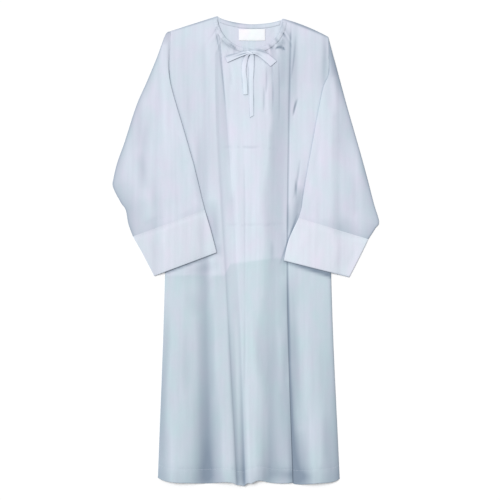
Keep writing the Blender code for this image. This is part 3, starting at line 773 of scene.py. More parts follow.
@dataclass
class Piece:
    """A piece of cloth that is laid but not yet a Blender object."""

    draft: Draft
    finish: ClothFinish
    slot: str
    flat: tuple[float, float]
    held: str
    rests_on: tuple[str, ...] = ()
    area: float | None = None
    thickness: float = 0.0
    node: str = ""
    # the share of the relief's sky shade that is painted into its colour
    painted_shade_share: float = 1.0
    layer: Layer = Layer.OVER
    dim: float = 1.0  # how much of the shade beside the raised middle it takes
    takes_painted_shades: bool = False  # whether it takes the listed painted shades


class Wardrobe:
    """Turns laid pieces into objects, attaches them to the body and hides the solids they stand for."""

    FOLD_DISTANCES = (1, 2, 3, 5, 8, 12, 18, 27, 40, 58)
    FOLD_WEIGHT = 0.42
    FOLD_SPAN = (0.06, 0.52)  # the hidden shares of the sky where the shade starts and is full
    TOUCH_DISTANCES = (1, 2, 3, 5, 8, 12)
    TOUCH_WEIGHT = 0.1
    TOUCH_SPAN = (0.12, 0.75)
    TOUCH_SHARE = 0.45
    DEPTH = 1.6  # points this far under the highest layer lie out of sight
    ASIDE = 0.065  # a little shade for all that lies away from the raised middle
    ASIDE_X = 5.0
    ASIDE_REACH = 40.0
    HIP_LINE_X = (-62.0, -46.0, 84.0)
    HIP_LINE_Y = (-71.0, -38.7, -21.2)
    HIP_LINE_WIDTH = 9.0

    def __init__(self, relief: Relief) -> None:
        """Keep the relief whose hollows shade the cloth."""
        self.relief = relief
        self.finishes: dict[str, Material] = {}
        self.pieces: list[Piece] = []
        self.body = relief.height
        self.neck = relief.height

    def add(self, piece: Piece) -> None:
        """Keep a piece until all are laid."""
        self.pieces.append(piece)

    def keep_body(self) -> None:
        """Remember the relief of the body alone."""
        self.body = self.relief.height.copy()

    def keep_neck(self) -> None:
        """Remember the relief of the body with the neck's front casing."""
        self.neck = self.relief.height.copy()

    def material(self, finish: ClothFinish | ThreadFinish) -> Material:
        """Return a finish's material, made once."""
        if finish.name not in self.finishes:
            self.finishes[finish.name] = finish.build()
        return self.finishes[finish.name]

    def shade_maps(self) -> dict[Layer, Array]:
        """Return a raster of shade for each layer, 0 to 1.

        The body is shaded by its own folds, widely, and by what lies on it, closely, but for the
        neck's casing, which is sewn into it. The rest is shaded by the whole relief.
        """
        alone = Relief()
        alone.height = self.body
        folds = alone.shade(self.body, self.FOLD_DISTANCES, self.FOLD_WEIGHT)
        lying = Relief()
        sewn = (self.neck > self.body) & (self.relief.height <= self.neck)
        lying.height = np.where(sewn, self.body, self.relief.height)
        touch = lying.shade(self.body, self.TOUCH_DISTANCES, self.TOUCH_WEIGHT)
        whole = self.relief.shade(self.relief.height, self.FOLD_DISTANCES, self.FOLD_WEIGHT)
        folds, whole = share_between(folds, *self.FOLD_SPAN), share_between(whole, *self.FOLD_SPAN)
        touch = share_between(touch, *self.TOUCH_SPAN)
        body = np.maximum(folds, self.TOUCH_SHARE * touch)
        return {Layer.BODY: body, Layer.OVER: whole}

    def shades(self, piece: Piece, maps: dict[Layer, Array]) -> dict[str, Array]:
        """Return the numbers that colour a piece at its points.

        painted_shade is the shade painted into the colour where the point shows from above. lower is 0
        above the hip line and 1 below it; the line steps down on the left.

        Args:
            piece: the piece.
            maps: a raster of shade for each layer.

        Returns:
            The attributes by name.
        """
        x, y, z = np.concatenate(piece.draft.points).T
        painted_shade = self.relief.read(maps[piece.layer], x, y)
        if piece.layer is not Layer.BODY:
            buried = self.relief.read(self.relief.height, x, y) - z
            painted_shade *= 1.0 - smoothstep(buried / self.DEPTH - 0.5)
        hip_line = np.interp(x, self.HIP_LINE_X, self.HIP_LINE_Y)
        lower = smoothstep((hip_line - y) / self.HIP_LINE_WIDTH + 0.5)
        beside = np.abs(x - self.ASIDE_X) - self.ASIDE_REACH
        aside = self.ASIDE * smoothstep(beside / self.ASIDE_REACH)
        painted_shade = painted_shade * piece.painted_shade_share + aside * piece.dim
        # Painted shade and light that the piece's own draft carries: edge lines, troughs and shadows
        if piece.draft.tone is not None:
            painted_shade = painted_shade + piece.draft.tone
        # The front and its casing take the listed painted shades, and a painted shade towards the hem
        if piece.takes_painted_shades:
            painted_shade = painted_shade + crease_height(FRONT_PAINTED_SHADES + NECK_PAINTED_SHADES, x, y)
            painted_shade = painted_shade + HEM_PAINTED_SHADE * smoothstep((HEM_PAINTED_SHADE_Y - y) / HEM_PAINTED_SHADE_REACH)
        return {"painted_shade": np.clip(painted_shade, 0.0, 1.0), "lower": lower}

    def hang(self) -> None:
        """Make every piece's object, with its thickness and finish, attached to the body in place of its
        solid.
        """
        maps = self.shade_maps()
        for piece in self.pieces:
            draft = piece.draft
            item = draft.to_object(self.shades(piece, maps))
            item.data.materials.append(self.material(piece.finish))
            if piece.thickness > 0.0:
                shell = item.modifiers.new("Thickness", "SOLIDIFY")
                shell.thickness = piece.thickness * MM
                shell.offset = -1.0
            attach(item, BODY)
            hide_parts(piece.node)
            LOG.info("%s: %d points", draft.name, draft.count)


# The body

@dataclass(frozen=True)
class FoldLine:
    """A crest, valley or edge that runs down the front, from its top edge to the hem.

    x_... is where it passes at the top edge, the chest, the hip and the hem, and lift_... how far
    the cloth is raised there. fine is the distance between columns of points up to the next line.
    """

    name: str
    x_top: float
    x_chest: float
    x_hip: float
    x_hem: float
    y_hem: float
    lift_top: float
    lift_chest: float
    lift_hip: float
    lift_hem: float
    fine: float


FRONT_LINES = table(
    FoldLine,
    ("left_edge", -220, -231, -237, -257, -662, 0, 0, 0, 0, 2),
    ("left_roll", -214, -223, -228, -246, -667.5, 0.5, 0.8, 1.8, 4, 4.2),
    ("left_crest", -190, -193, -193, -209, -674, 1.5, 1.6, 3.6, 12, 4.2),
    ("left_fall", -155, -155, -152, -164, -676, 1.5, 1.5, 2.4, 9, 4.2),
    ("valley_a", -123, -123, -119, -110, -678, 1.2, 1, 0.4, 0.1, 3.4),
    ("crest_ab", -102, -99, -86, -54, -673, 2.2, 2.6, 4.2, 13, 2.6),
    ("b_brow", -92, -88, -65, -34, -677, 2.2, 2.6, 4, 11.5, 1.3),
    ("b_edge", -88.5, -84, -58.5, -27.5, -681, 1.9, 2.2, 3.4, 9.6, 0.8),
    ("b_root", -85, -79.5, -56, -24.5, -682, 1.5, 1.85, 2.8, 7.9, 1.6),
    ("strip", -81.8, -70, -44, -14, -683, 1.5, 2.05, 3.3, 6.6, 1.6),
    ("c_root", -77.5, -54, -25, -3.5, -684, 0.9, 2, 3.4, 5.4, 0.9),
    ("c_edge", -79, -52, -19, 0, -679, 2.4, 2.9, 4.2, 9.4, 2.4),
    ("crest_cl", -46, -36, -5, 16, -676, 3, 4.6, 5, 13, 3),
    ("centre", 0, 0, 10, 30, -669.5, 3.4, 5, 5, 12, 3),
    ("crest_cr", 43, 49, 39, 44, -669, 3.2, 4.7, 4.6, 9.5, 2.2),
    ("valley_e", 80, 84, 77, 72, -676, 0.9, 1.4, 1.6, 2.6, 1.7),
    ("crest_ef", 102, 104, 96, 102, -678, 0.9, 1.1, 1.5, 3.4, 1.5),
    ("f_brow", 121, 116, 110, 127, -677, 1, 1.1, 1.7, 4.2, 1.3),
    ("f_edge", 129, 122.5, 118.5, 136, -676, 0.7, 1, 1.6, 3.6, 0.8),
    ("f_root", 131, 124.5, 121, 138, -679, 0.2, 0.2, 0.3, 0.4, 1.8),
    ("f_floor", 138, 132, 128, 152, -681, 2.4, 2.2, 1.9, 1.2, 2.4),
    ("right_rise", 158, 158, 161, 180, -679, 2.6, 2.4, 3, 8.5, 4.2),
    ("right_crest", 193, 196, 196, 205, -676.5, 1.7, 1.7, 3.6, 12.5, 4.2),
    ("right_roll", 232, 238, 240, 261, -671, 0.5, 0.8, 1.8, 4, 2),
    ("right_edge", 240, 246, 249, 273, -665, 0, 0, 0, 0, 2),
)

# Where the front's rows lie closer: a share of its height, a reach and how many times closer
FRONT_CROWDS = (
    (0, 0.004, 2),
    (0.029, 0.008, 1.4),
    (0.566, 0.006, 1.2),
    (0.733, 0.006, 1.2),
    (0.962, 0.012, 2.2),
    (1, 0.07, 1.6),
)

FRONT_CREASES = table(
    Crease,
    (86, 590, 113, 589, 1.9, -2.2, 5), (90, 606, 112, 604, 3.2, 1.3, 4),
    (86, 624, 95, 610, 2, -1.5, 1), (67, 597, 79, 589, 2.2, -1.6, 1),
    (-45, 601, -26, 588, 2.4, -1.5, -2), (-40, 608, -30, 596, 2, -1.3, 1),
    (76, 575, 80, 430, 1.7, -0.8, -1), (95, 572, 97, 375, 1.8, -0.9, 2),
    (60, 540, 59, 455, 1.6, -1.1, 1), (-70, 301, 96, 296, 2.6, -0.75, 3),
    (-58, 76, 118, 80, 2.8, -0.6, -3), (-6, 330, -3, -150, 2.4, -0.7, 1),
    (52, 482, 51, 398, 2.2, -1.2, 1), (66, 500, 67, 380, 4, 0.8, -2),
    (79, 500, 77, 396, 2, -0.9, 1), (153, 447, 138, 392, 2.4, -1.6, -2),
    (158, 276, 136, 140, 3.2, -1.2, 3), (144, 214, 147, 142, 2.6, -1.2, 1),
    (-48, 560, -44, 470, 4.5, -0.7, 2), (-30, 540, -26, 450, 5.5, 0.7, -2),
    (-130, 640, -116, 440, 14, -0.25, 4), (-150, 620, -146, 380, 18, 0.3, -5),
    (-180, 600, -166, 330, 15, -0.6, 5), (-208, 470, -184, 330, 12, 0.6, -4),
    (-141, 360, -136, 130, 12, -0.6, 3), (30, 260, 27, 40, 13, 0.8, 4),
    (-22, 250, -20, 60, 10, 0.7, -3), (66, 230, 60, 30, 10, -0.3, -4),
    (168, 600, 172, 400, 14, -0.6, 4), (200, 590, 190, 420, 15, 0.7, -4),
    (231, 604, 232, 545, 5, -0.8, 2), (186, 400, 172, 230, 12, 0.6, 4),
    (-206, -96, -140, -190, 26, -0.9, 5), (-120, -80, -72, -66, 12, 0.7, -3),
    (-178, -210, -176, -430, 18, -1, 4), (-215, -280, -226, -540, 14, 0.9, -4),
    (-3, -150, -4, -410, 3.4, -0.8, 1), (16, -180, 24, -400, 9, 0.8, 3),
    (52, -130, 44, -370, 13, -0.8, -4), (100, -220, 101, -420, 8, 0.7, 2),
    (150, -150, 146, -330, 12, -0.6, -3), (176, -230, 180, -490, 18, 1, 4),
    (222, -160, 230, -440, 14, -0.2, -4), (-230, -200, -236, -400, 10, -0.8, 3),
)

# Painted shades on the front, in its folds and beside what lies on it: lift is the share of
# painted shade, and below 0 it paints light
FRONT_PAINTED_SHADES = table(
    Crease,
    (104, 640, 102, 240, 20, 0.14, 2), (112, 660, 108, 470, 13, 0.2),
    (130, 640, 127, 340, 8, 0.22), (142, 670, 142, 420, 11, 0.3),
    (104, 300, 98, -80, 15, 0.1, 2), (230, 660, 226, 480, 9, 0.3, 2),
    (196, 640, 186, 480, 22, 0.08), (-222, 610, -230, 440, 7, 0.2, -2),
    (80, 687, 270, 611, 4, 0.75, 3), (-60, 690, -240, 636, 3.4, 0.6),
    (158, 190, 130, 30, 13, 0.5, 3), (152, 112, 98, -42, 2.8, 0.6),
    (112, 60, 112, -90, 9, 0.18), (136, -40, 144, -470, 12, 0.26),
    (-106, 150, -74, -10, 12, 0.2, -4), (-98, -130, -96, -430, 9, 0.14),
    (-250, -60, -90, -60, 22, 0.08), (-330, -100, -74, -5, 4, 0.5),
    (104, -28.7, 420, -123.5, 6.6, 1.2), (112, -80, 114, -760, 15, 0.34),
    (124, -380, 134, -800, 9, 0.34), (121, -50, 126, -330, 7, 0.28),
    (150, -200, 152, -580, 12, 0.12), (66, -648, 200, -658, 13, 0.26),
    (-113, -540, -113, -820, 26, 0.1), (-30, -170, -12, -800, 8, -0.4),
    (-53, -200, -40, -490, 5, 0.18), (-242, -150, -252, -720, 20, 0.27),
    (-190, -240, -200, -700, 26, 0.04), (200, -100, 212, -640, 26, 0.08),
    (-172, 660, -166, 200, 40, 0.07), (158, -520, 172, -800, 22, 0.34),
    (145, 628, 131, 500, 2.6, 0.32, 2), (-79, 588, -60, 420, 1.8, 0.26, 1),
    (-90, 600, -86, 330, 1.8, 0.16), (147, 442, 137, 394, 2.6, 0.4, -1),
    (73, 520, 70, 340, 8, -0.24), (62, 400, 56, 230, 10, -0.14),
    (-45, 600, -38, 500, 12, -0.12), (-92, 150, -84, 20, 14, 0.17),
    (-82, 24, -74, -20, 8, 0.16), (124, 140, 124, 50, 6, 0.26),
    (-170, -62, -76, -36, 15, 0.14), (-110, 560, -112, 60, 9, 0.13),
    (-41, 270, -41, 150, 9, -0.15), (230, 570, 226, 390, 11, 0.13),
    (76, 30, 76, -34, 5, 0.18), (112, -80, 112, -190, 8, 0.14),
    (172, 240, 162, 110, 10, 0.16), (-84, -340, -84, -700, 16, 0.13),
    (58, -380, 58, -700, 9, -0.13), (232, -470, 236, -640, 12, 0.14),
)

# The same painted shades round the gathered neck, on the casing too
NECK_PAINTED_SHADES = table(
    Crease,
    (84.5, 588.5, 115, 585.5, 2.7, 1.15, 7), (102, 642, 114, 622, 4.2, 0.32, 1),
    (130, 640, 132, 590, 2.8, 0.16, -2), (84, 624, 96, 602, 4, 0.4),
    (62, 604, 80, 588, 3.6, 0.34), (96, 612, 114, 604, 2.6, 0.2),
    (104, 672, 108, 640, 5, 0.26), (-68, 614, -28, 580, 6.5, 0.34, 3),
    (-46, 605, -26, 585, 3, 0.42), (-89, 640, -78, 580, 2, 0.5, 1),
    (-88, 654, -80, 642, 3.2, 0.28), (-60, 604, -48, 590, 2, 0.26),
)
# Painted shade on the front towards the hem
HEM_PAINTED_SHADE = 0.18  # how much darker the front gets towards the hem
HEM_PAINTED_SHADE_Y = -606.0
HEM_PAINTED_SHADE_REACH = 62.0

BACK_CREASES = table(
    Crease,
    (-150, 560, -140, 100, 14, -0.35, 8), (-60, 600, -70, -200, 12, -0.4, -6),
    (12, 610, 10, -400, 9, -0.45, 3), (84, 600, 98, -150, 12, -0.4, 6),
    (170, 560, 166, 60, 14, -0.35, -8), (-180, -100, -200, -600, 18, -0.4, 6),
    (-20, -150, -40, -640, 16, -0.4, -5), (120, -180, 140, -640, 18, -0.4, 5),
    (-200, 300, 200, 296, 4, -0.3, 4), (-210, -60, 220, -66, 4, -0.3, -5),
    (-62, 648, -30, 604, 5, -0.5, 3), (-44, 652, -24, 596, 4, -0.4, -2),
    (84, 646, 62, 606, 5, -0.5, -3), (70, 650, 58, 598, 4, 0.3, 2),
)


@dataclass
class BodyPanels:
    """The front, with the folds that fall from its gathered neck, and the back under it."""

    relief: Relief
    rows: int = 244
    top_fade: float = 70.0  # folds grow from the top edge over this length
    top_lift_share: float = 0.15
    knee_share: float = 0.36  # how much of the folds' growth below the hip is reached at the knee
    hem_droop: float = 0.06  # the share of its lift that the cloth loses at the hem's edge
    hem_depth: float = 40.0  # the turned-up hem
    hem_step: float = 0.35
    side_round: float = 5.0  # the side edge rolls down to the back over this width
    armpit_y: float = 540.0  # above this the side is sewn to the sleeve and stays flat
    gathers: int = 24
    gather_width: float = 3.1
    back_columns: int = 150
    edge_strip: float = 0.15  # the narrow last faces beside an edge keep its shading level
    top_blend: float = 0.015  # the share of the height over which columns come to the top edge
    droop_reach: float = 22.0
    side_free: float = 16.0  # small creases die away over this width beside a side edge
    back_rows: int = 210
    back_hem_rise: float = 4.0  # the back's hem lies this far above the front's
    front: Array = field(init=False)

    def gather_creases(self) -> list[Crease]:
        """Return the small ridges under the front neck casing.

        They start on the neckline at even turns, shaken a little by two waves, and run between
        straight down and straight away from it.
        """
        made = []
        for index in range(self.gathers):
            shake = 0.35 * math.sin(2.9 * index) + 0.2 * math.sin(7.7 * index + 1.0)
            turn = math.pi * (0.07 + 0.86 * (index + 0.5 + shake) / self.gathers)
            away = np.array((-math.cos(turn) / NECK_HALF_WIDTH, -math.sin(turn) / FRONT_NECK_DEPTH))
            away = away / np.linalg.norm(away) * 0.45 + np.array((0.0, -0.55))
            x = NECK_CENTRE_X - NECK_HALF_WIDTH * math.cos(turn)
            y = float(neck_rim(np.array(x))) - FRONT_NECK_DEPTH * math.sin(turn)
            length = 62.0 + 34.0 * math.sin(4.1 * index + 0.6) + 18.0 * math.sin(9.3 * index)
            lift = (1.25 + 0.4 * math.sin(5.3 * index)) * (1 if index % 2 else -0.9)
            end = np.array((x, y)) + away / np.linalg.norm(away) * length
            width = self.gather_width * (1.0 + 0.25 * math.sin(3.7 * index))
            bow = 2.5 * math.sin(6.1 * index)
            made.append(Crease(x, y, end[0], end[1], width, lift, bow, Fade.FAR_END))
        return made

    def line_values(self, names: tuple[str, str, str, str]) -> Array:
        """Return four fields of every fold line, lines x 4."""
        return np.array([[getattr(line, name) for name in names] for line in FRONT_LINES], dtype=float)

    def column_places(self, stations: Array) -> Array:
        """Return the columns' places across the panel, as close as each fold line asks."""
        places = [stations[:1]]
        for line, low, high in zip(FRONT_LINES, stations[:-1], stations[1:]):
            count = max(4, round((high - low) / line.fine))
            places.append(np.linspace(low, high, count + 1)[1:])
        places = np.concatenate(places)
        strips = (places[0] + self.edge_strip, places[-1] - self.edge_strip)
        return np.sort(np.append(places, strips))

    def line_curves(self, x_at: Array, lift_at: Array,
                    y: Array) -> tuple[Array, Array]:
        """Follow each fold line up the panel by a smooth curve through its marks.

        The lifts have one more, at the knee: it says how soon the folds open below the hip.

        Args:
            x_at: lines x 4, where each line passes at the hem, hip, chest and top.
            lift_at: lines x 4, how high it is there.
            y: the points' heights up the panel, rows x columns.

        Returns:
            The lines' x and their lift, each lines x rows x columns.
        """
        heights = (y - HIP_Y) / (CHEST_Y - HIP_Y)
        x_lines, lift_lines = [], []
        for index, line in enumerate(FRONT_LINES):
            low = (line.y_hem - HIP_Y) / (CHEST_Y - HIP_Y)
            top_height = float((top_y(np.array(line.x_top)) - HIP_Y) / (CHEST_Y - HIP_Y))
            marks = np.array((low, 0.0, 1.0, top_height))
            flat = heights.ravel()
            x_lines.append(spline(marks, x_at[index], flat).reshape(y.shape))
            knee = lift_at[index, 1] + (lift_at[index, 0] - lift_at[index, 1]) * self.knee_share
            marks = np.insert(marks, 1, (KNEE_Y - HIP_Y) / (CHEST_Y - HIP_Y))
            lifts = np.insert(lift_at[index], 1, knee)
            lift_lines.append(spline(marks, lifts, flat).reshape(y.shape))
        return np.array(x_lines), np.array(lift_lines)

    def small_relief(self, x: Array, y: Array, above_hem: Array) -> Array:
        """Return what lies on the folds: creases, gathers, and the turned-up hem.

        The hem is a step up, with two waves' pucker and a narrow groove at its stitched line.

        Args:
            x: the points' x.
            y: the points' y.
            above_hem: how far each lies above the hem's edge.

        Returns:
            The heights, an array like x.
        """
        small = crease_height(FRONT_CREASES, x, y) + crease_height(self.gather_creases(), x, y)
        small = small * smoothstep(above_hem / 30.0 + 0.2)
        small += self.hem_step * (1.0 - smoothstep((above_hem - self.hem_depth + 1.5) / 3.0))
        pucker = np.sin(x / 2.6) * np.sin(x / 7.3 + 1.0)
        small += 0.22 * pucker * bell(above_hem - self.hem_depth, 9.0)
        small -= 0.25 * bell(above_hem - self.hem_depth, 1.6)
        return small

    def lay_front(self) -> Draft:
        """Lay the front.

        A column of points runs from the hem to the top edge. At each height a smooth curve across
        the fold lines' places and lifts gives the column's; pleat edges stand over their roots,
        so it turns back under itself there. Small relief is added, and the sides roll down.

        Returns:
            The front's draft.
        """
        x_at = self.line_values(("x_hem", "x_hip", "x_chest", "x_top"))
        lift_at = self.line_values(("lift_hem", "lift_hip", "lift_chest", "lift_top"))
        y_hem = np.array([line.y_hem for line in FRONT_LINES])
        steps = np.maximum(np.abs(np.diff(x_at, axis=0)).mean(axis=1), 3.0)
        stations = running(steps)
        places = self.column_places(stations)
        top_x = spline(stations, x_at[:, 3], places, level_turns=True)
        top = top_y(top_x)
        hem = spline(stations, y_hem, places)
        shares = crowded(self.rows, *FRONT_CROWDS)
        y = hem + (top - hem) * shares[:, None]
        above_hem = y - hem
        x_lines, lift_lines = self.line_curves(x_at, lift_at, y)
        x = self.across(stations, x_lines, places)
        lift = self.across(stations, lift_lines, places)
        blend = smoothstep((shares - (1.0 - self.top_blend)) / self.top_blend)[:, None]
        x = x * (1.0 - blend) + top_x * blend
        below_top = smoothstep((top - y) / self.top_fade)
        fade = self.top_lift_share + (1.0 - self.top_lift_share) * below_top
        droop = 1.0 - self.hem_droop * (1.0 - smoothstep(above_hem / self.droop_reach)) ** 2
        z = FRONT_TOP + np.maximum(lift, 0.0) * fade * droop
        small = self.small_relief(x, y, above_hem)
        side = np.minimum(x - x[:, :1], x[:, -1:] - x)
        free = smoothstep(side / self.side_free)
        z = np.maximum(z + small * free, FRONT_TOP - 0.35)
        rolled = quarter_round(side / self.side_round)
        z = z - (1.0 - rolled) * smoothstep((self.armpit_y - y) / 20.0)
        points = np.stack((x, y, z), axis=-1)
        under = points[0]
        turned = [under + (0.0, 2.6, -0.85), under + (0.0, 0.2, -0.8), under + (0.0, -0.45, -0.35)]
        self.front = np.concatenate((np.array(turned), points))
        return lay_grid("front_panel_cloth", self.front, self.relief)

    @staticmethod
    def across(stations: Array, lines: Array, places: Array) -> Array:
        """Return values between fold lines by the level-turned curve across them.

        Args:
            stations: the lines' places across the panel.
            lines: lines x rows x columns, each line's value at every point's height.
            places: the columns' places across the panel.

        Returns:
            Rows x columns.
        """
        columns = [spline(stations, lines[:, :, index], places[index:index + 1], level_turns=True)[0]
                   for index in range(len(places))]
        return np.stack(columns, axis=1)

    def lay_back(self) -> Draft:
        """Lay the back, which is flat but for shallow creases pressed in from above."""
        left, right = FRONT_LINES[0], FRONT_LINES[-1]
        shares = np.linspace(0.0, 1.0, self.back_columns)
        top_x = left.x_top + (right.x_top - left.x_top) * shares
        top = top_y(top_x, BACK_NECK_DEPTH, BACK_NECK_POWER)
        hem_marks = np.maximum.accumulate([line.x_hem for line in FRONT_LINES])
        hem_x = left.x_hem + (right.x_hem - left.x_hem) * shares
        hem = np.interp(hem_x, hem_marks, [line.y_hem for line in FRONT_LINES]) + self.back_hem_rise
        up = crowded(self.back_rows, (1.0, 0.05, 1.5))
        y = hem + (top - hem) * up[:, None]
        edges = []
        for line in (left, right):
            marks = (line.y_hem, HIP_Y, CHEST_Y, float(top_y(np.array(line.x_top))))
            values = (line.x_hem, line.x_hip, line.x_chest, line.x_top)
            edges.append(spline(marks, values, y.ravel()).reshape(y.shape))
        x = edges[0] + (edges[1] - edges[0]) * shares
        z = np.clip(BACK_TOP - 0.05 + crease_height(BACK_CREASES, x, y), CLOTH, BACK_TOP)
        return lay_grid("back_panel_cloth", np.stack((x, y, z), axis=-1), self.relief)


# The neck

@dataclass
class Neck:
    """The gathered channels round the neck, and the bare woven label inside the back."""

    relief: Relief
    end_drop: float = 10.0  # the front casing ends this far below the peaks
    puckers: int = 44
    pucker_lift: float = 0.9
    rounding: float = 0.12
    thickness: float = 0.2
    front_sections: int = 380
    back_sections: int = 300
    inner_height: float = 0.75  # the back casing and the label lie this far over the back
    label_width: float = 77.0
    label_height: float = 34.0
    label_centre: tuple[float, float] = (17.5, 630.0)
    front: Array = field(init=False)
    back: Array = field(init=False)
    label: Array = field(init=False)

    def ripple(self, turn: Array) -> Array:
        """Return the puckers' height, 0 to 1: two waves whose pace and size wander on the way round."""
        wander = turn + 0.006 * np.sin(TAU * 3.0 * turn) + 0.004 * np.sin(TAU * 7.0 * turn + 1.0)
        size = 0.55 + 0.45 * np.sin(TAU * 2.3 * turn + 0.4) * np.sin(TAU * 5.1 * turn)
        waves = (0.7 * np.sin(TAU * self.puckers * wander)
                 + 0.3 * np.sin(TAU * self.puckers * 0.43 * wander))
        return 0.5 + 0.5 * size * waves

    def lay_front(self) -> Draft:
        """Lay the front channel along the neckline's half ellipse: a low arch across, rippled along."""
        start = math.asin(self.end_drop / FRONT_NECK_DEPTH)
        angle = np.linspace(start, math.pi - start, self.front_sections)[:, None]
        across = crowded(15, (0.0, 0.08, 1.5), (1.0, 0.08, 1.5))[None, :]
        x = NECK_CENTRE_X - NECK_HALF_WIDTH * np.cos(angle)
        y = neck_rim(x) - FRONT_NECK_DEPTH * np.sin(angle)
        away = unit(np.concatenate((-np.cos(angle) / NECK_HALF_WIDTH,
                                    -np.sin(angle) / FRONT_NECK_DEPTH), axis=1))
        round_neck = np.linspace(0.0, 1.0, self.front_sections)
        ripple = self.ripple(round_neck)[:, None]
        wobble = 0.5 * (ripple - 0.5) * (1.0 - across)
        reach = CASING_WIDTH * across + wobble
        x = x + away[:, :1] * reach
        y = y + away[:, 1:] * reach
        base = self.relief.read(self.relief.draped(2.0, 0.5), x, y)
        arch = np.sin(math.pi * np.clip(across, 0.0, 1.0)) ** 0.7
        later = self.ripple(round_neck + 0.004)[:, None]
        lift = arch * (self.rounding + self.pucker_lift * (ripple * (1 - across) + later * across))
        groove = 0.25 * bell(across - 0.86, 0.05)
        z = base + self.thickness + lift - groove * arch
        edge = 1.0 - quarter_round(across / 0.1)
        z = z - edge * 0.3
        self.front = np.stack((x, y, z), axis=-1)
        draft = lay_grid("neck_casing_front_cloth", self.front, self.relief)
        # Painted shade along the casing's neckline edge, strongest where the neckline runs steeply, more on
        # the left
        steep = np.cos(angle) ** 2 * np.where(angle < math.pi / 2.0, 1.0, 0.6)
        draft.tone = (0.5 * steep * np.exp(-CASING_WIDTH * across / 1.6)).ravel()
        return draft

    def lay_back(self) -> Draft:
        """Lay the back channel under the back neckline, flatter, with the same puckers."""
        reach = NECK_HALF_WIDTH - 7.0
        share = np.linspace(0.0, 1.0, self.back_sections)[:, None]
        across = crowded(12, (0.0, 0.08, 1.5), (1.0, 0.08, 1.5))[None, :]
        x = spread(NECK_CENTRE_X - reach + 2.0 * reach * share, across)
        ripple = self.ripple(share[:, 0] * 0.8)[:, None]
        y = neck_y(x, BACK_NECK_DEPTH, BACK_NECK_POWER) - 0.3 - CASING_WIDTH * across
        arch = np.sin(math.pi * across) ** 0.6
        low_edge = bell(1.0 - across, 0.08)
        z = BACK_TOP + self.inner_height + arch * (0.25 + 0.4 * ripple) - 0.2 * low_edge
        self.back = np.stack((x, y, z), axis=-1)
        draft = lay_grid("neck_casing_back_cloth", self.back, self.relief)
        # Painted shade: a dark line along the back casing's top edge, wider on the left, and a band of
        # shade over its middle, darker towards its lower edge
        left_part = bell(x + 34.0, 24.0)
        middle = np.exp(-((x - 18.0) / 27.0) ** 4)
        line = (0.55 + 0.25 * left_part) * np.exp(-CASING_WIDTH * across / (1.5 + 4.0 * left_part))
        draft.tone = (line + 0.22 * middle * (0.4 + 0.6 * across)).ravel()
        return draft

    def lay_label(self) -> Draft:
        """Lay the label: a flat rectangle, raised a little in its middle and pressed at its edges."""
        share = np.linspace(-1.0, 1.0, 60)[None, :]
        up = np.linspace(-1.0, 1.0, 34)[:, None]
        x = spread(self.label_centre[0] + self.label_width / 2.0 * share, up)
        y = self.label_centre[1] + self.label_height / 2.0 * up + 0.3 * np.sin(3.0 * share + 1.0) * up
        belly = (1.0 - share ** 4) * (1.0 - up ** 4)
        wave = 0.12 * np.sin(5.0 * share + 2.0 * up) + 0.08 * np.sin(9.0 * share - 3.0 * up)
        stitched = bell(np.abs(share) - 0.94, 0.02)
        stitched = np.maximum(stitched, bell(np.abs(up) - 0.86, 0.04))
        z = BACK_TOP + self.inner_height + 0.35 * belly + wave * belly - 0.12 * stitched
        self.label = np.stack((x, y, z), axis=-1)
        return lay_grid("label_cloth", self.label, self.relief)


# Sleeves and cuffs

@dataclass(frozen=True)
class TubeRow:
    """One section of a flattened sleeve or cuff, from its outer to its inner folded edge.

    swell is how far it bulges between them, and rim how far the shade of its outer edge reaches.
    """

    outer_x: float
    outer_y: float
    inner_x: float
    inner_y: float
    swell: float
    rim: float = 3.0


LEFT_SLEEVE = table(
    TubeRow,
    (-220.1, 641, -224.75, 528, 0, 3), (-235, 630, -224.8, 526, 0.1, 3),
    (-260, 564, -224.2, 514, 0.7, 5), (-289, 494, -218.5, 482, 1.4, 7),
    (-320, 423, -206, 436, 2, 9), (-354, 318, -180, 349, 2.4, 12),
    (-375, 259, -163, 290, 2.6, 14), (-386.5, 212, -151.5, 250, 2.6, 20),
    (-388, 186, -145, 222, 2.4, 32), (-366, 142, -136, 186, 2, 46),
    (-351, 119, -130, 160, 1.6, 46), (-343, 78, -124.5, 138, 1.2, 34),
    (-330, 42, -120, 120, 0.6, 22),
)
LEFT_CUFF = table(
    TubeRow,
    (-330, 42, -120, 120, 0.6), (-298.5, -14, -102, 59, 0.6),
    (-268, -73.5, -85, -5, 0),
)
RIGHT_SLEEVE = table(
    TubeRow,
    (240.1, 624, 242.3, 532, 0, 34), (251, 580, 242, 518, 0.5, 34),
    (269, 516, 237.5, 504, 1.4, 18), (291, 434, 225, 474, 2, 10),
    (315, 350, 209.5, 400, 2.4, 12), (336, 277, 193, 310, 2.6, 14),
    (355, 207, 177.5, 225, 2.6, 24), (373, 137, 167, 163, 2.2, 38),
    (388, 85, 162.5, 128, 1.8, 46), (377, 65, 157, 108, 1.2, 44),
    (357, 34, 153.5, 96, 0.6, 40),
)
RIGHT_CUFF = table(
    TubeRow,
    (357, 34, 153.5, 96, 0.6), (329, -23, 124, 31, 0.6),
    (301.5, -77, 110, -29, 0),
)

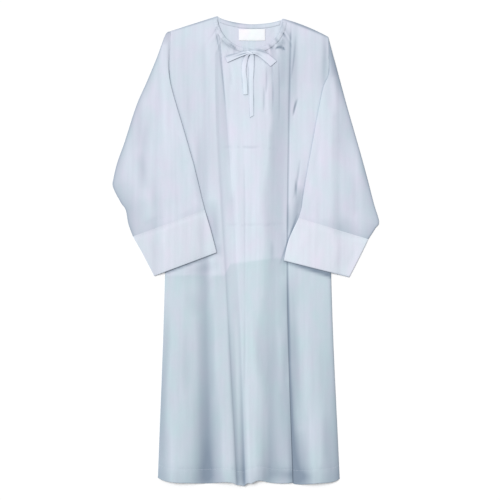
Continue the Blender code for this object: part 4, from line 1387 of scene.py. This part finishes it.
LEFT_CREASES = table(
    Crease,
    (-280, 400, -296, 190, 15, -1.2, -6), (-318, 372, -346, 210, 16, 0.5, 5),
    (-240, 440, -252, 150, 24, 0.5, 6), (-206, 380, -176, 160, 14, -0.7, 4),
    (-262, 530, -306, 420, 13, -0.5, 3), (-232, 500, -236, 360, 12, 0.7, 3),
    (-370, 190, -300, 150, 15, -0.6, 5), (-230, 260, -214, 90, 13, -0.6, -4),
    (-170, 250, -140, 130, 12, 0.8, 3), (-300, 76, -230, 100, 8, -0.3, 3),
    (-214, 96, -150, 120, 8, -0.3, -3), (-306, 34, -262, -50, 14, 0.8, 5),
    (-246, 62, -214, -34, 14, 1.1, -4), (-214, 66, -196, -20, 9, -0.6, 3),
    (-170, 90, -138, -14, 13, 0.9, 4),
)
RIGHT_CREASES = table(
    Crease,
    (262, 570, 300, 420, 12, -0.5, -4), (250, 520, 262, 390, 12, 0.8, 3),
    (286, 420, 330, 230, 20, -0.4, -5), (304, 330, 350, 160, 18, 0.9, 6),
    (250, 390, 256, 120, 24, 0.5, -6), (222, 380, 196, 170, 14, -0.7, -4),
    (238, 300, 226, 110, 13, -0.5, 4), (372, 92, 300, 130, 16, -0.4, -5),
    (330, 190, 318, 80, 13, -0.35, -3), (196, 210, 172, 110, 12, 0.8, -3),
    (290, 66, 210, 92, 8, -0.3, 3), (330, 20, 296, -60, 12, -0.6, -4),
    (270, 46, 246, -52, 16, 1.2, 4), (222, 56, 196, -40, 11, -0.7, 3),
    (184, 66, 152, -24, 14, 1, -4),
)

# Painted shades on the sleeves; a lift below 0 paints light
LEFT_PAINTED_SHADES = table(
    Crease,
    (-302, 430, -316, 280, 17, 0.13), (-312, 290, -298, 180, 15, 0.2, 2),
    (-290, 180, -272, 80, 14, -0.12, 2), (-224, 650, -238, 600, 8, 0.25),
)
RIGHT_PAINTED_SHADES = table(
    Crease,
    (238, 645, 258, 505, 12, 0.42), (272, 320, 277, 50, 13, -0.14, 2),
    (310, 230, 314, 140, 10, 0.06), (238, 560, 240, 400, 11, 0.12),
)


@dataclass
class Sleeve:
    """One sleeve and its doubled cuff: two flattened tubes, folded down over the front."""

    relief: Relief
    side: str
    rows: tuple[TubeRow, ...]
    cuff_rows: tuple[TubeRow, ...]
    creases: tuple[Crease, ...]
    painted_shades: tuple[Crease, ...]
    flat: tuple[float, float]  # the sleeve's and the cuff's flat size, in metres
    area: float
    cuff_flat: tuple[float, float]
    # The share of the painted side shade that the sleeve and its cuff take; below 0 it paints light
    dim: float = 1.0
    cuff_dim: float = 1.6
    edge_height: float = 2.3
    cuff_edge_height: float = 3.9
    wall: float = 0.5
    cuff_wall: float = 0.9
    seam_reach: float = 2.1  # the sleeve leaves the floor beside the body over this many sections
    layer_points: int = 60
    curl_points: int = 6  # points round a quarter of a folded edge
    fold_free: float = 22.0  # creases die away over this width beside a folded edge
    hem_press: float = 0.4
    least_share: float = 0.55  # the upper layer keeps this share of its height in a crease
    sections: int = 170
    cuff_sections: int = 84
    armhole_height: float = 2.1
    sleeve_strip: float = 0.006  # how close the extra ring beside an end lies, in sections
    cuff_strip: float = 0.003
    cuff_gap: float = 0.03  # left between the sleeve's end and the cuff
    # Painted shade at the sleeve's outer edge and at the cuff's hem:
    rim_painted_shade: float = 0.46  # the shade at a sleeve's outer edge
    outline_painted_shade: float = 0.25  # and how much more it is right at the edge
    cuff_hem_painted_shade: float = 0.4  # the shade at a cuff's hem
    sleeve: Array = field(init=False)
    cuff: Array = field(init=False)

    def skin(self, rows: tuple[TubeRow, ...], stops: Array, edge_height: Array, inset: float,
             rest: Array, hem: float) -> Array:
        """Return one skin of a flattened tube, rings x points around x 3.

        A ring runs upright from the outer to the inner folded edge on the lower layer, which
        rests on the relief, and back on the upper one, which lies edge_height above it and swells
        between the edges. Both close in half an ellipse.

        Args:
            rows: the tube's sections.
            stops: the rings' places, 0 for the first section and 1 for the next.
            edge_height: the folded edges' height, one number per ring.
            inset: how far this skin lies inside the outer one.
            rest: the raster it rests on.
            hem: how strongly the upper layer is pressed down at the last ring.

        Returns:
            The skin's points.
        """
        table = np.array([(r.outer_x, r.outer_y, r.inner_x, r.inner_y, r.swell) for r in rows])
        marks = np.arange(len(rows), dtype=float)
        edges = spline(marks, table, stops)
        outer, inner = edges[:, 0:2], edges[:, 2:4]
        swell = np.maximum(edges[:, 4], 0.0)[:, None]
        length = np.linalg.norm(inner - outer, axis=1)[:, None]
        ahead = (inner - outer) / length
        edge_height = edge_height[:, None]
        radius = edge_height / 2.0
        quarter = np.linspace(0.0, math.pi / 2.0, self.curl_points)
        curl = inset + (radius - inset) * (1.0 - np.cos(quarter))
        middle = np.linspace(0.0, 1.0, self.layer_points)[1:-1]
        usable = length - 2.0 * radius
        offset = np.concatenate((curl, radius + usable * middle, length - curl[:, ::-1]), axis=1)
        place = outer[:, None, :] + ahead[:, None, :] * offset[..., None]
        x, y = place[..., 0], place[..., 1]
        over = smoothstep(stops / self.seam_reach)[:, None] if hem == 0.0 else 1.0
        low = over * self.relief.read(rest, x, y) + 0.05
        share = offset / length
        plump = np.sin(math.pi * share).clip(0.0) ** 0.7
        small = crease_height(self.creases, x, y) * np.clip(swell + 0.25, 0.0, 1.0)
        edge = np.minimum(offset, length - offset)
        free = smoothstep(edge / self.fold_free)
        last = smoothstep((stops - stops[-1]) / 0.35 + 1.0)[:, None] * hem
        high = low + edge_height + swell * plump + small * free - last * self.hem_press
        high = np.maximum(high, low + edge_height * self.least_share)
        low = low + np.maximum(-small, 0.0) * free * 0.3 * over
        rounded = quarter_round((edge - inset) / (radius - inset * 0.5))
        centre = (low + high) / 2.0
        lower = centre - (centre - low - inset) * rounded
        upper = centre + (high - inset - centre) * rounded
        below = np.stack((x, y, lower), axis=-1)
        above = np.stack((x, y, upper), axis=-1)[:, ::-1]
        return np.concatenate((below, above[:, 1:-1]), axis=1)

    def tube(self, name: str, rows: tuple[TubeRow, ...], stops: Array, edge_height: Array,
             wall: float, rest: Array, hem: float = 0.0) -> tuple[Draft, Array]:
        """Lay a tube of cloth: an outer and an inner skin, joined at both open ends.

        Args:
            name: the piece's name.
            rows: its sections.
            stops: the rings' places along them.
            edge_height: its folded edges' height, one number per ring.
            wall: the cloth's thickness.
            rest: the raster it rests on.
            hem: how strongly its last ring is pressed down.

        Returns:
            The draft, and the outer skin's points.
        """
        outside = self.skin(rows, stops, edge_height, 0.0, rest, hem)
        inside = self.skin(rows, stops, edge_height, wall, rest, hem)
        backward = rows[-1].outer_x < rows[-1].inner_x
        if not backward:
            outside, inside = outside[:, ::-1], inside[:, ::-1]
        draft = Draft(name)
        outer_edge = outside[:, :1] if backward else outside[:, -1:]
        reach = spline(np.arange(len(rows)), [row.rim for row in rows], stops)[:, None]
        # Painted shade: a soft dark rim along the sleeve's outer folded edge, or a dark line at the cuff's
        # hem, with the sleeve's listed painted shades and light
        painted_shades = []
        for skin in (outside, inside):
            away = np.linalg.norm((skin - outer_edge)[..., :2], axis=2)
            to_hem = np.linalg.norm((skin - outside[-1:])[..., :2], axis=2)
            if hem == 0.0:
                tone = self.rim_painted_shade * np.exp(-away / reach)
                tone = tone + self.outline_painted_shade * np.exp(-away / 2.5)
            else:
                tone = self.cuff_hem_painted_shade * np.exp(-to_hem / 1.5)
            tone = tone + crease_height(self.painted_shades, skin[..., 0], skin[..., 1])
            painted_shades.append(tone.ravel())
        draft.tone = np.concatenate(painted_shades)
        out = draft.add_grid(outside, closed=True)
        into = draft.add_grid(inside, closed=True, inward=True)
        draft.add_rim(into[0], out[0])
        draft.add_rim(out[-1], into[-1])
        return draft, outside

    @staticmethod
    def with_strips(stops: Array, strip: float) -> Array:
        """Return a tube's stops with one more close to each end, which keeps its shading level."""
        return np.sort(np.append(stops, (stops[0] + strip, stops[-1] - strip)))

    def lay(self) -> tuple[Draft, Draft]:
        """Lay the sleeve and its cuff, and return their drafts."""
        rest = self.relief.draped(6.0, 0.12)
        stops = self.with_strips(np.linspace(0.0, len(self.rows) - 1.0, self.sections),
                                 self.sleeve_strip)
        rise = self.edge_height - self.armhole_height
        heights = self.armhole_height + rise * smoothstep(stops)
        sleeve, self.sleeve = self.tube(f"sleeve_{self.side}_cloth", self.rows, stops, heights,
                                        self.wall, rest)
        first, second = self.cuff_rows[0], self.cuff_rows[1]
        stretch = math.hypot(second.outer_x - first.outer_x, second.outer_y - first.outer_y)
        stops = np.linspace(self.cuff_gap / stretch, len(self.cuff_rows) - 1.0, self.cuff_sections)
        stops = self.with_strips(stops, self.cuff_strip)
        rise = self.cuff_edge_height - self.edge_height
        heights = self.edge_height + rise * smoothstep(stops / 0.3)
        cuff, self.cuff = self.tube(f"cuff_{self.side}_cloth", self.cuff_rows, stops, heights,
                                    self.cuff_wall, rest, hem=1.0)
        for skin in (self.sleeve, self.cuff):
            self.relief.add(skin)
        return sleeve, cuff


# The tie

@dataclass(frozen=True)
class TapePoint:
    """A point of a tape's centre line: its place, the tape's width and its end's slant."""

    x: float
    y: float
    width: float
    slant: float = 0.0


TAIL_LEFT = table(
    TapePoint,
    (8, 575, 6.5), (2.5, 567.5, 9.5),
    (-4, 548, 13.5), (-6.2, 526, 12.5),
    (-3, 492, 13), (-1, 455, 12.5),
)
TAIL_RIGHT = table(
    TapePoint,
    (16.5, 575, 8.5), (17.2, 567, 12.5),
    (14.8, 549, 18), (15.8, 526, 14.5),
    (15, 498, 12.5), (15.8, 440, 11.5),
    (17, 391, 10.5, 6),
)
LOOP_LEFT = table(
    TapePoint,
    (6.5, 577, 7), (0, 576, 9.2),
    (-21, 570.3, 13), (-42, 563, 17),
    (-57, 557, 18),
)
LOOP_RIGHT = table(
    TapePoint,
    (18.5, 577.6, 8), (25, 578, 11),
    (39, 575.5, 17.5), (58, 564, 22),
    (80.5, 545.5, 24, -4),
)


@dataclass(frozen=True)
class LoopFold:
    """How a loop is folded: where its pleat lies across it, -1 to 1, and how far it stands open.

    pleat_painted_shade is the shade painted in the pleat. open_at and open_reach say where along it
    the lower run shows, and edge_painted_shade, edge_at and edge_reach how dark its upper run's far
    edge is painted, and where.
    """

    pleat: float
    pleat_painted_shade: float
    open_width: float
    open_at: float
    open_reach: float
    edge_painted_shade: float
    edge_at: float
    edge_reach: float


LEFT_FOLD = LoopFold(-0.05, 1.2, 1.5, 0.9, 0.3, 1.0, 0.7, 0.4)
RIGHT_FOLD = LoopFold(0.35, 0.3, 4.4, 0.3, 0.26, 1.2, 0.32, 0.2)


@dataclass
class NeckTie:
    """The bow at the front of the neck: a knot, two loops and two tails of flat tape."""

    relief: Relief
    thickness: float = 0.6
    knot_centre: tuple[float, float] = (12.5, 577.0)
    knot_size: Triple = (20.0, 13.0, 3.6)
    knot_painted_shade: float = 0.9  # the shade in the knot's troughs
    root_rise: float = 0.5
    loop_wall: float = 0.4
    loop_open: float = 1.7
    loop_closed: float = 1.1
    across_points: int = 13
    tail_sections: int = 110
    loop_sections: int = 60
    turn_sections: int = 7  # round a loop's far end
    tails: dict[str, Array] = field(default_factory=dict)
    loops: dict[str, Array] = field(default_factory=dict)

    def knot_floor(self) -> float:
        """Return the height at which the knot lies clear of all under it."""
        rest = self.relief.draped(4.0, 0.2)
        x = self.knot_centre[0] + np.linspace(-0.5, 0.5, 7)[None, :] * self.knot_size[0]
        y = self.knot_centre[1] + np.linspace(-0.5, 0.5, 5)[:, None] * self.knot_size[1]
        return float(self.relief.read(rest, spread(x, y), spread(y, x)).max())

    def ribbon(self, points: tuple[TapePoint, ...], count: int, floor: float, fall: float) -> Array:
        """Return a tape laid over the relief, sections x points across x 3.

        Args:
            points: its centre line.
            count: how many sections.
            floor: the height at which it leaves the knot.
            fall: the share of its length over which it comes down from there.

        Returns:
            The tape's points.
        """
        line = resampled(np.array([(p.x, p.y, p.width, p.slant) for p in points]), count)
        ahead = unit(np.gradient(line[:, :2], axis=0))
        left = np.stack((-ahead[:, 1], ahead[:, 0]), axis=1)
        hand = np.linspace(0.5, -0.5, self.across_points)[None, :, None]
        slant = line[:, 3][:, None, None] * smoothstep(np.linspace(-2.0, 1.0, count))[:, None, None]
        across = left[:, None] * line[:, 2][:, None, None] - ahead[:, None] * slant
        place = line[:, None, :2] + hand * across
        x, y = place[..., 0], place[..., 1]
        rest = self.relief.read(self.relief.draped(3.0, 0.25), x, y)
        level = 0.5 * rest + 0.5 * rest.max(axis=1, keepdims=True)
        root = 1.0 - smoothstep(np.linspace(0.0, 1.0, count) / fall)
        level = level + root[:, None] * np.maximum(0.0, floor - level)
        return np.stack((x, y, level), axis=-1)

    def lay_tail(self, name: str, points: tuple[TapePoint, ...], floor: float, waves: float) -> Draft:
        """Lay a free end: a ribbon that curls a little across and waves along."""
        lower = self.ribbon(points, self.tail_sections, floor, 0.16)
        share = np.linspace(0.0, 1.0, len(lower))[:, None]
        hand = np.linspace(-1.0, 1.0, self.across_points)[None, :]
        curl = 0.35 * (1.0 - hand ** 2) * (0.6 + 0.4 * np.sin(waves * share + 1.0))
        twist = 0.35 * hand * np.sin(1.7 * waves * share) * smoothstep(share / 0.3)
        lower[..., 2] += self.thickness + np.maximum(curl + twist + 0.1, 0.0)
        self.tails[name] = lower
        draft = Draft(name + "_cloth")
        draft.add_grid(lower)
        return draft

    def lay_loop(self, name: str, points: tuple[TapePoint, ...], floor: float, fold: LoopFold) -> Draft:
        """Lay a loop: the tape runs out, turns in a half round and comes back above itself.

        The upper run is arched and has a soft pleat that starts at the knot. The lower one shows
        beside its far edge, where the loop stands a little open.

        Args:
            name: the loop's node.
            points: its centre line.
            floor: the height at which it leaves the knot.
            fold: how it is folded.

        Returns:
            The loop's draft.
        """
        upper = self.ribbon(points, self.loop_sections, floor, 0.3)
        upper[..., 2] += 0.15
        share = np.linspace(0.0, 1.0, len(upper))[:, None]
        hand = np.linspace(-1.0, 1.0, self.across_points)[None, :]
        away = unit((upper[:, 0] - upper[:, -1])[:, :2])
        away = away * np.sign(away[:, 1:])
        showing = bell(share - fold.open_at, fold.open_reach) * smoothstep((1.0 - share) / 0.12)
        lower = upper.copy()
        lower[..., :2] += away[:, None] * (fold.open_width * showing)[..., None]
        gap = self.loop_closed + (self.loop_open - self.loop_closed) * np.sin(math.pi * share) ** 0.8
        crest = 0.3 * (1.0 - hand ** 2) * (1.0 - 0.5 * share)
        trough = 0.6 * bell(hand - fold.pleat, 0.28) * (1.0 - smoothstep(share / 0.9))
        upper[..., 2] += gap + crest - trough
        ahead = unit((lower[-1] - lower[-2])[:, :2])
        turns = []
        for angle in np.linspace(-math.pi / 2.0, math.pi / 2.0, self.turn_sections + 2)[1:-1]:
            ring = (lower[-1] + upper[-1]) / 2.0
            half = (upper[-1, :, 2] - lower[-1, :, 2]) / 2.0
            ring[:, :2] = ring[:, :2] + ahead * (math.cos(angle) * half)[:, None]
            ring[:, 2] = ring[:, 2] + math.sin(angle) * half
            turns.append(ring)
        whole = np.concatenate((lower, np.array(turns), upper[::-1]))
        self.loops[name] = whole
        draft = Draft(name + "_cloth")
        draft.add_grid(whole, inward=True)
        # Painted shade: a dark line along the upper run's far edge and in its pleat, and a shadow on the
        # lower run where it shows
        far = np.abs(hand - np.where(upper[0, 0, 1] > upper[0, -1, 1], -1.0, 1.0))
        line = fold.edge_painted_shade * np.exp(-far / 0.3) * bell(share - fold.edge_at, fold.edge_reach)
        pleat_shade_window = smoothstep(share / 0.15) * (1.0 - smoothstep(share / 0.85))
        line = line + fold.pleat_painted_shade * bell(hand - fold.pleat, 0.26) * pleat_shade_window
        shadow = 0.55 * showing * np.exp(-far / 0.5)
        plain = np.zeros((self.turn_sections, self.across_points))
        draft.tone = np.concatenate((shadow, plain, line[::-1])).ravel()
        return draft

    def lay_knot(self, floor: float) -> Draft:
        """Lay the knot: a squashed round body with two slanted troughs, where the tape crosses."""
        turn = np.linspace(0.0, TAU, 72, endpoint=False)[None, :]
        rise = np.linspace(-math.pi / 2.0, math.pi / 2.0, 40)[:, None]
        half = np.array(self.knot_size) / 2.0
        ring = signed_power(np.cos(rise), 0.8)
        x = half[0] * ring * signed_power(np.cos(turn), 0.8)
        y = half[1] * ring * signed_power(np.sin(turn), 0.8)
        z = spread(half[2] * signed_power(np.sin(rise), 0.85), turn)
        slanted = x * 0.5 + y * 0.86
        trough = bell(slanted - 3.4, 1.1) + 0.8 * bell(slanted + 3.8, 1.2)
        shrink = 1.0 - 0.13 * trough * ring
        points = np.stack((self.knot_centre[0] + x * shrink, self.knot_centre[1] + y * shrink,
                           floor + half[2] + z * shrink), axis=-1)
        draft = Draft("tie_knot_cloth")
        numbers = draft.add_grid(points[1:-1], closed=True)
        draft.add_pole(numbers[0], points[0, 0], first=True)
        draft.add_pole(numbers[-1], points[-1, 0], first=False)
        # Painted shade in the knot's troughs
        draft.tone = np.concatenate(((self.knot_painted_shade * trough * ring)[1:-1].ravel(), (0.0, 0.0)))
        self.relief.add(np.concatenate((points, points[:, :1]), axis=1))
        return draft


# Sewing

@dataclass
class Seamstress:
    """Rows of stitches, each a small spindle of thread that follows a path on a surface."""

    LEAST_UP: ClassVar[float] = 0.1  # how far up a stitch faces at least
    LEAST_HEIGHT: ClassVar[float] = 0.6
    pitch: float = 3.4
    length: float = 2.6
    radius: float = 0.24
    points: list[Array] = field(default_factory=list)
    count: int = 0

    def path(self, grid: Array, row: Array, column: Array) -> None:
        """Sew along a path on a grid.

        Stitches are spaced evenly by its length, with their ends sunk into the cloth and their
        middle above it. None is sewn where the cloth faces the floor.

        Args:
            grid: the surface, rows x columns x 3.
            row: the path's rows, fractional.
            column: its columns, fractional.
        """
        line = bilinear(grid, row, column)
        last_row, last_column = grid.shape[0] - 1, grid.shape[1] - 1
        up_rows = (bilinear(grid, np.clip(row + 0.5, 0, last_row), column)
                   - bilinear(grid, np.clip(row - 0.5, 0, last_row), column))
        across = (bilinear(grid, row, np.clip(column + 0.5, 0, last_column))
                  - bilinear(grid, row, np.clip(column - 0.5, 0, last_column)))
        normal = unit(np.cross(across, up_rows))
        along = running(np.linalg.norm(np.diff(line, axis=0), axis=1))
        marks = np.arange(self.pitch / 2.0, along[-1] - self.pitch / 2.0, self.pitch)
        if len(marks) == 0:
            return
        centre = read_along(marks, along, line)
        tip = read_along(marks + self.length / 2.0, along, line)
        butt = read_along(marks - self.length / 2.0, along, line)
        up = unit(read_along(marks, along, normal))
        ahead = unit(tip - butt)
        side = unit(np.cross(up, ahead))
        up = np.cross(ahead, side)
        seen = (up[:, 2] > self.LEAST_UP) & (centre[:, 2] > self.LEAST_HEIGHT)
        centre, ahead, side, up = centre[seen], ahead[seen], side[seen], up[seen]
        stations = np.array((-1.0, -0.62, 0.0, 0.62, 1.0))
        girth = np.array((0.3, 0.9, 1.0, 0.9, 0.3)) * self.radius
        sunk = 0.16 - 0.34 * stations ** 2
        turn = np.linspace(0.0, TAU, 4, endpoint=False) + TAU / 8.0
        body = (centre[:, None, None]
                + ahead[:, None, None] * (stations * self.length / 2.0)[None, :, None, None]
                + up[:, None, None] * sunk[None, :, None, None]
                + side[:, None, None] * (girth[:, None] * np.cos(turn))[None, :, :, None]
                + up[:, None, None] * (girth[:, None] * np.sin(turn))[None, :, :, None])
        self.points.append(body.reshape(-1, 3))
        self.count += len(centre)

    def along_row(self, grid: Array, row: float) -> None:
        """Sew along one row of a grid."""
        columns = np.linspace(1.0, grid.shape[1] - 2.0, PATH_POINTS)
        self.path(grid, np.full_like(columns, row), columns)

    def along_column(self, grid: Array, column: float, count: int) -> None:
        """Sew along one column of a grid, on a path of count points."""
        rows = np.linspace(1.0, grid.shape[0] - 2.0, count)
        self.path(grid, rows, np.full_like(rows, column))

    def to_object(self, name: str, material: Material) -> None:
        """Write all stitches as one mesh.

        Args:
            name: the object's name.
            material: the thread's material.
        """
        ring = np.arange(4)
        quads = []
        for station in range(4):
            near, far = station * 4 + ring, station * 4 + 4 + ring
            quads.append(np.stack((near, np.roll(near, -1), np.roll(far, -1), far), axis=-1))
        quads.append(np.array([[3, 2, 1, 0], [16, 17, 18, 19]]))
        one = np.concatenate(quads)
        faces = (one[None] + (np.arange(self.count) * 20)[:, None, None]).reshape(-1, 4)
        mesh = written(name, np.concatenate(self.points), faces)
        mesh.materials.append(material)
        item = placed(name, mesh)
        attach(item, BODY)
        LOG.info("%s: %d stitches", name, self.count)


# The studio

@dataclass(frozen=True)
class Studio:
    """A pale floor, soft light and a camera straight above."""

    camera_height: float = 3.2
    camera_centre: tuple[float, float] = (0.0117, 0.0022)
    half_view: float = 0.73  # half the frame's side at the floor, in metres
    floor_size: float = 30.0
    key_turn: float = 2.45  # the light stands this far round from +x
    key_rise: float = 0.95  # and this far above the floor, in radians
    key_strength: float = 2.35
    key_softness: float = 0.6  # the angle it fills in the sky
    sky: float = 0.52

    def set_camera(self) -> None:
        """Place the camera over the garment's middle, looking straight down."""
        camera = bpy.data.cameras.new("camera")
        camera.angle = 2.0 * math.atan(self.half_view / self.camera_height)
        item = placed("camera", camera)
        item.location = (*self.camera_centre, self.camera_height)
        bpy.context.scene.camera = item

    def set_lights(self) -> None:
        """Set a broad, low key light from the upper left, so that the folds show, and an even sky."""
        lamp = bpy.data.lights.new("key", "SUN")
        lamp.energy = self.key_strength
        lamp.angle = self.key_softness
        lamp.color = (1.0, 0.995, 0.985)
        item = placed("key", lamp)
        item.rotation_euler = (math.pi / 2.0 - self.key_rise, 0.0, self.key_turn + math.pi / 2.0)
        world = bpy.data.worlds.new("sky")
        world.use_nodes = True
        background = world.node_tree.nodes["Background"]
        background.inputs["Color"].default_value = (0.985, 0.992, 1.0, 1.0)
        background.inputs["Strength"].default_value = self.sky
        bpy.context.scene.world = world
        bpy.context.scene.view_settings.view_transform = "Standard"

    def lay_floor(self) -> None:
        """Lay the floor."""
        half = self.floor_size / 2.0
        mesh = bpy.data.meshes.new("floor")
        corners = [(-half, -half, 0.0), (half, -half, 0.0), (half, half, 0.0), (-half, half, 0.0)]
        mesh.from_pydata(corners, [], [(0, 1, 2, 3)])
        mesh.materials.append(FloorFinish().build())
        floor = placed("floor", mesh)


def clear_scene() -> None:
    """Remove every object that the file starts with."""
    for item in list(bpy.data.objects):
        bpy.data.objects.remove(item, do_unlink=True)


def sew(body: BodyPanels, neck: Neck, sleeves: tuple[Sleeve, ...], wardrobe: Wardrobe) -> None:
    """Sew the visible rows of stitches.

    Args:
        body: the front and back.
        neck: the casings and the label.
        sleeves: both sleeves.
        wardrobe: where the thread's material is kept.
    """
    thread = wardrobe.material(ThreadFinish())
    hem = Seamstress()
    front = body.front
    columns = np.linspace(1.0, front.shape[1] - 2.0, PATH_POINTS)
    heights = front[:, :, 1] - front[3:4, :, 1]
    rows = np.array([np.interp(body.hem_depth, heights[3:, c], np.arange(3, len(front)))
                     for c in range(front.shape[1])])
    hem.path(front, np.interp(columns, np.arange(front.shape[1]), rows), columns)
    hem.to_object("hem_stitches", thread)
    neckwork = Seamstress(pitch=3.0, length=2.2, radius=0.2)
    neckwork.along_column(neck.front, 11.0, PATH_POINTS)
    neckwork.along_column(neck.back, 9.0, 700)
    neckwork.to_object("neck_stitches", thread)
    border = Seamstress(pitch=2.6, length=1.9, radius=0.16)
    label = neck.label
    low_row, high_row = 2.4, label.shape[0] - 3.4
    low_column, high_column = 1.8, label.shape[1] - 2.8
    corners = ((low_row, low_column), (low_row, high_column),
               (high_row, high_column), (high_row, low_column))
    for (row, column), (end_row, end_column) in zip(corners, corners[1:] + corners[:1]):
        border.path(label, np.linspace(row, end_row, 200), np.linspace(column, end_column, 200))
    border.to_object("label_stitches", thread)
    for sleeve in sleeves:
        seams = Seamstress()
        for row in (3.2, sleeve.cuff.shape[0] - 6.0):
            seams.along_row(sleeve.cuff, row)
        seams.along_row(sleeve.sleeve, 2.0)
        seams.to_object(f"sleeve_{sleeve.side}_stitches", thread)


def dress_body(body: BodyPanels, neck: Neck, wardrobe: Wardrobe) -> None:
    """Lay the back, what is sewn to its neck, and the front with its casing.

    Args:
        body: the front and back.
        neck: the casings and the label.
        wardrobe: where the pieces are kept.
    """
    wardrobe.add(Piece(body.lay_back(), COTTON, "white_cotton", (0.53, 1.36), "laid", area=0.68,
                       thickness=CLOTH - 0.1, node="back_panel", painted_shade_share=0.12, dim=0.0))
    wardrobe.add(Piece(neck.lay_back(), COTTON, "doubled_cotton", (0.19, 0.014), "gathered",
                       ON_BACK, thickness=0.5, node="neck_casing_back",
                       painted_shade_share=0.3, dim=0.4))
    wardrobe.add(Piece(neck.lay_label(), LABEL_WEAVE, "label_weave", (0.077, 0.034), "laid",
                       ON_BACK, thickness=0.4, node="label", painted_shade_share=0.3))
    wardrobe.add(Piece(body.lay_front(), COTTON, "white_cotton", (0.58, 1.37), "gathered",
                       ON_BACK, area=0.70, thickness=CLOTH, node="front_panel",
                       layer=Layer.BODY, takes_painted_shades=True))
    wardrobe.keep_body()
    wardrobe.add(Piece(neck.lay_front(), COTTON, "doubled_cotton", (0.27, 0.014), "gathered",
                       ON_FRONT, thickness=neck.thickness, node="neck_casing_front",
                       painted_shade_share=0.5, takes_painted_shades=True))
    wardrobe.keep_neck()


def dress_sleeve(sleeve: Sleeve, wardrobe: Wardrobe) -> None:
    """Lay a sleeve and its cuff."""
    sleeve_draft, cuff_draft = sleeve.lay()
    wardrobe.add(Piece(sleeve_draft, COTTON, "white_cotton", sleeve.flat, "folded",
                       ON_FRONT, area=sleeve.area, node=f"sleeve_{sleeve.side}",
                       painted_shade_share=0.8, dim=sleeve.dim))
    wardrobe.add(Piece(cuff_draft, DOUBLED, "doubled_cotton", sleeve.cuff_flat, "folded",
                       ON_FRONT, node=f"cuff_{sleeve.side}", painted_shade_share=0.5,
                       dim=sleeve.cuff_dim))


def dress_tie(tie: NeckTie, wardrobe: Wardrobe) -> None:
    """Lay the bow: the tails, the loops over them, and the knot.

    Args:
        tie: the bow.
        wardrobe: where the pieces are kept.
    """
    floor = tie.knot_floor()
    root = floor + tie.root_rise
    for name, points, waves, length in (("tie_tail_left", TAIL_LEFT, 7.0, 0.116),
                                        ("tie_tail_right", TAIL_RIGHT, 9.0, 0.18)):
        draft = tie.lay_tail(name, points, root, waves)
        wardrobe.add(Piece(draft, TAPE_CLOTH, "cotton_tape", (0.012, length), "laid",
                           ON_FRONT, thickness=tie.thickness, node=name,
                           painted_shade_share=0.4))
    for tail in tie.tails.values():
        tie.relief.add(tail)
    for name, points, fold in (("tie_loop_left", LOOP_LEFT, LEFT_FOLD),
                               ("tie_loop_right", LOOP_RIGHT, RIGHT_FOLD)):
        draft = tie.lay_loop(name, points, root, fold)
        wardrobe.add(Piece(draft, TAPE_CLOTH, "cotton_tape", (0.017, 0.14), "folded",
                           ON_CASING, thickness=tie.loop_wall, node=name,
                           painted_shade_share=0.4))
    for loop in tie.loops.values():
        tie.relief.add(loop)
    wardrobe.add(Piece(tie.lay_knot(floor), TAPE_CLOTH, "cotton_tape", (0.02, 0.0125), "folded",
                       ON_CASING, node="tie_knot", painted_shade_share=0.5))


def main() -> None:
    """Build the garment's pieces in the order in which they lie, then dress and light them."""
    logging.basicConfig(level=logging.INFO, format="%(message)s")
    clear_scene()
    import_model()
    studio = Studio()
    studio.set_camera()
    relief = Relief()
    wardrobe = Wardrobe(relief)
    body = BodyPanels(relief)
    neck = Neck(relief)
    dress_body(body, neck, wardrobe)
    sleeves = (
        Sleeve(relief, "left", LEFT_SLEEVE, LEFT_CUFF, LEFT_CREASES, LEFT_PAINTED_SHADES,
               flat=(0.46, 0.60), area=0.195, cuff_flat=(0.42, 0.135)),
        # The right sleeve takes less painted side shade, its cuff a painted light and a darker painted hem
        # line
        Sleeve(relief, "right", RIGHT_SLEEVE, RIGHT_CUFF, RIGHT_CREASES, RIGHT_PAINTED_SHADES,
               flat=(0.44, 0.58), area=0.175, cuff_flat=(0.42, 0.125), dim=0.5, cuff_dim=-0.7,
               cuff_hem_painted_shade=0.9),
    )
    for sleeve in sleeves:
        dress_sleeve(sleeve, wardrobe)
    dress_tie(NeckTie(relief), wardrobe)
    wardrobe.hang()
    sew(body, neck, sleeves, wardrobe)
    studio.set_lights()
    studio.lay_floor()


if __name__ == "__main__":
    main()
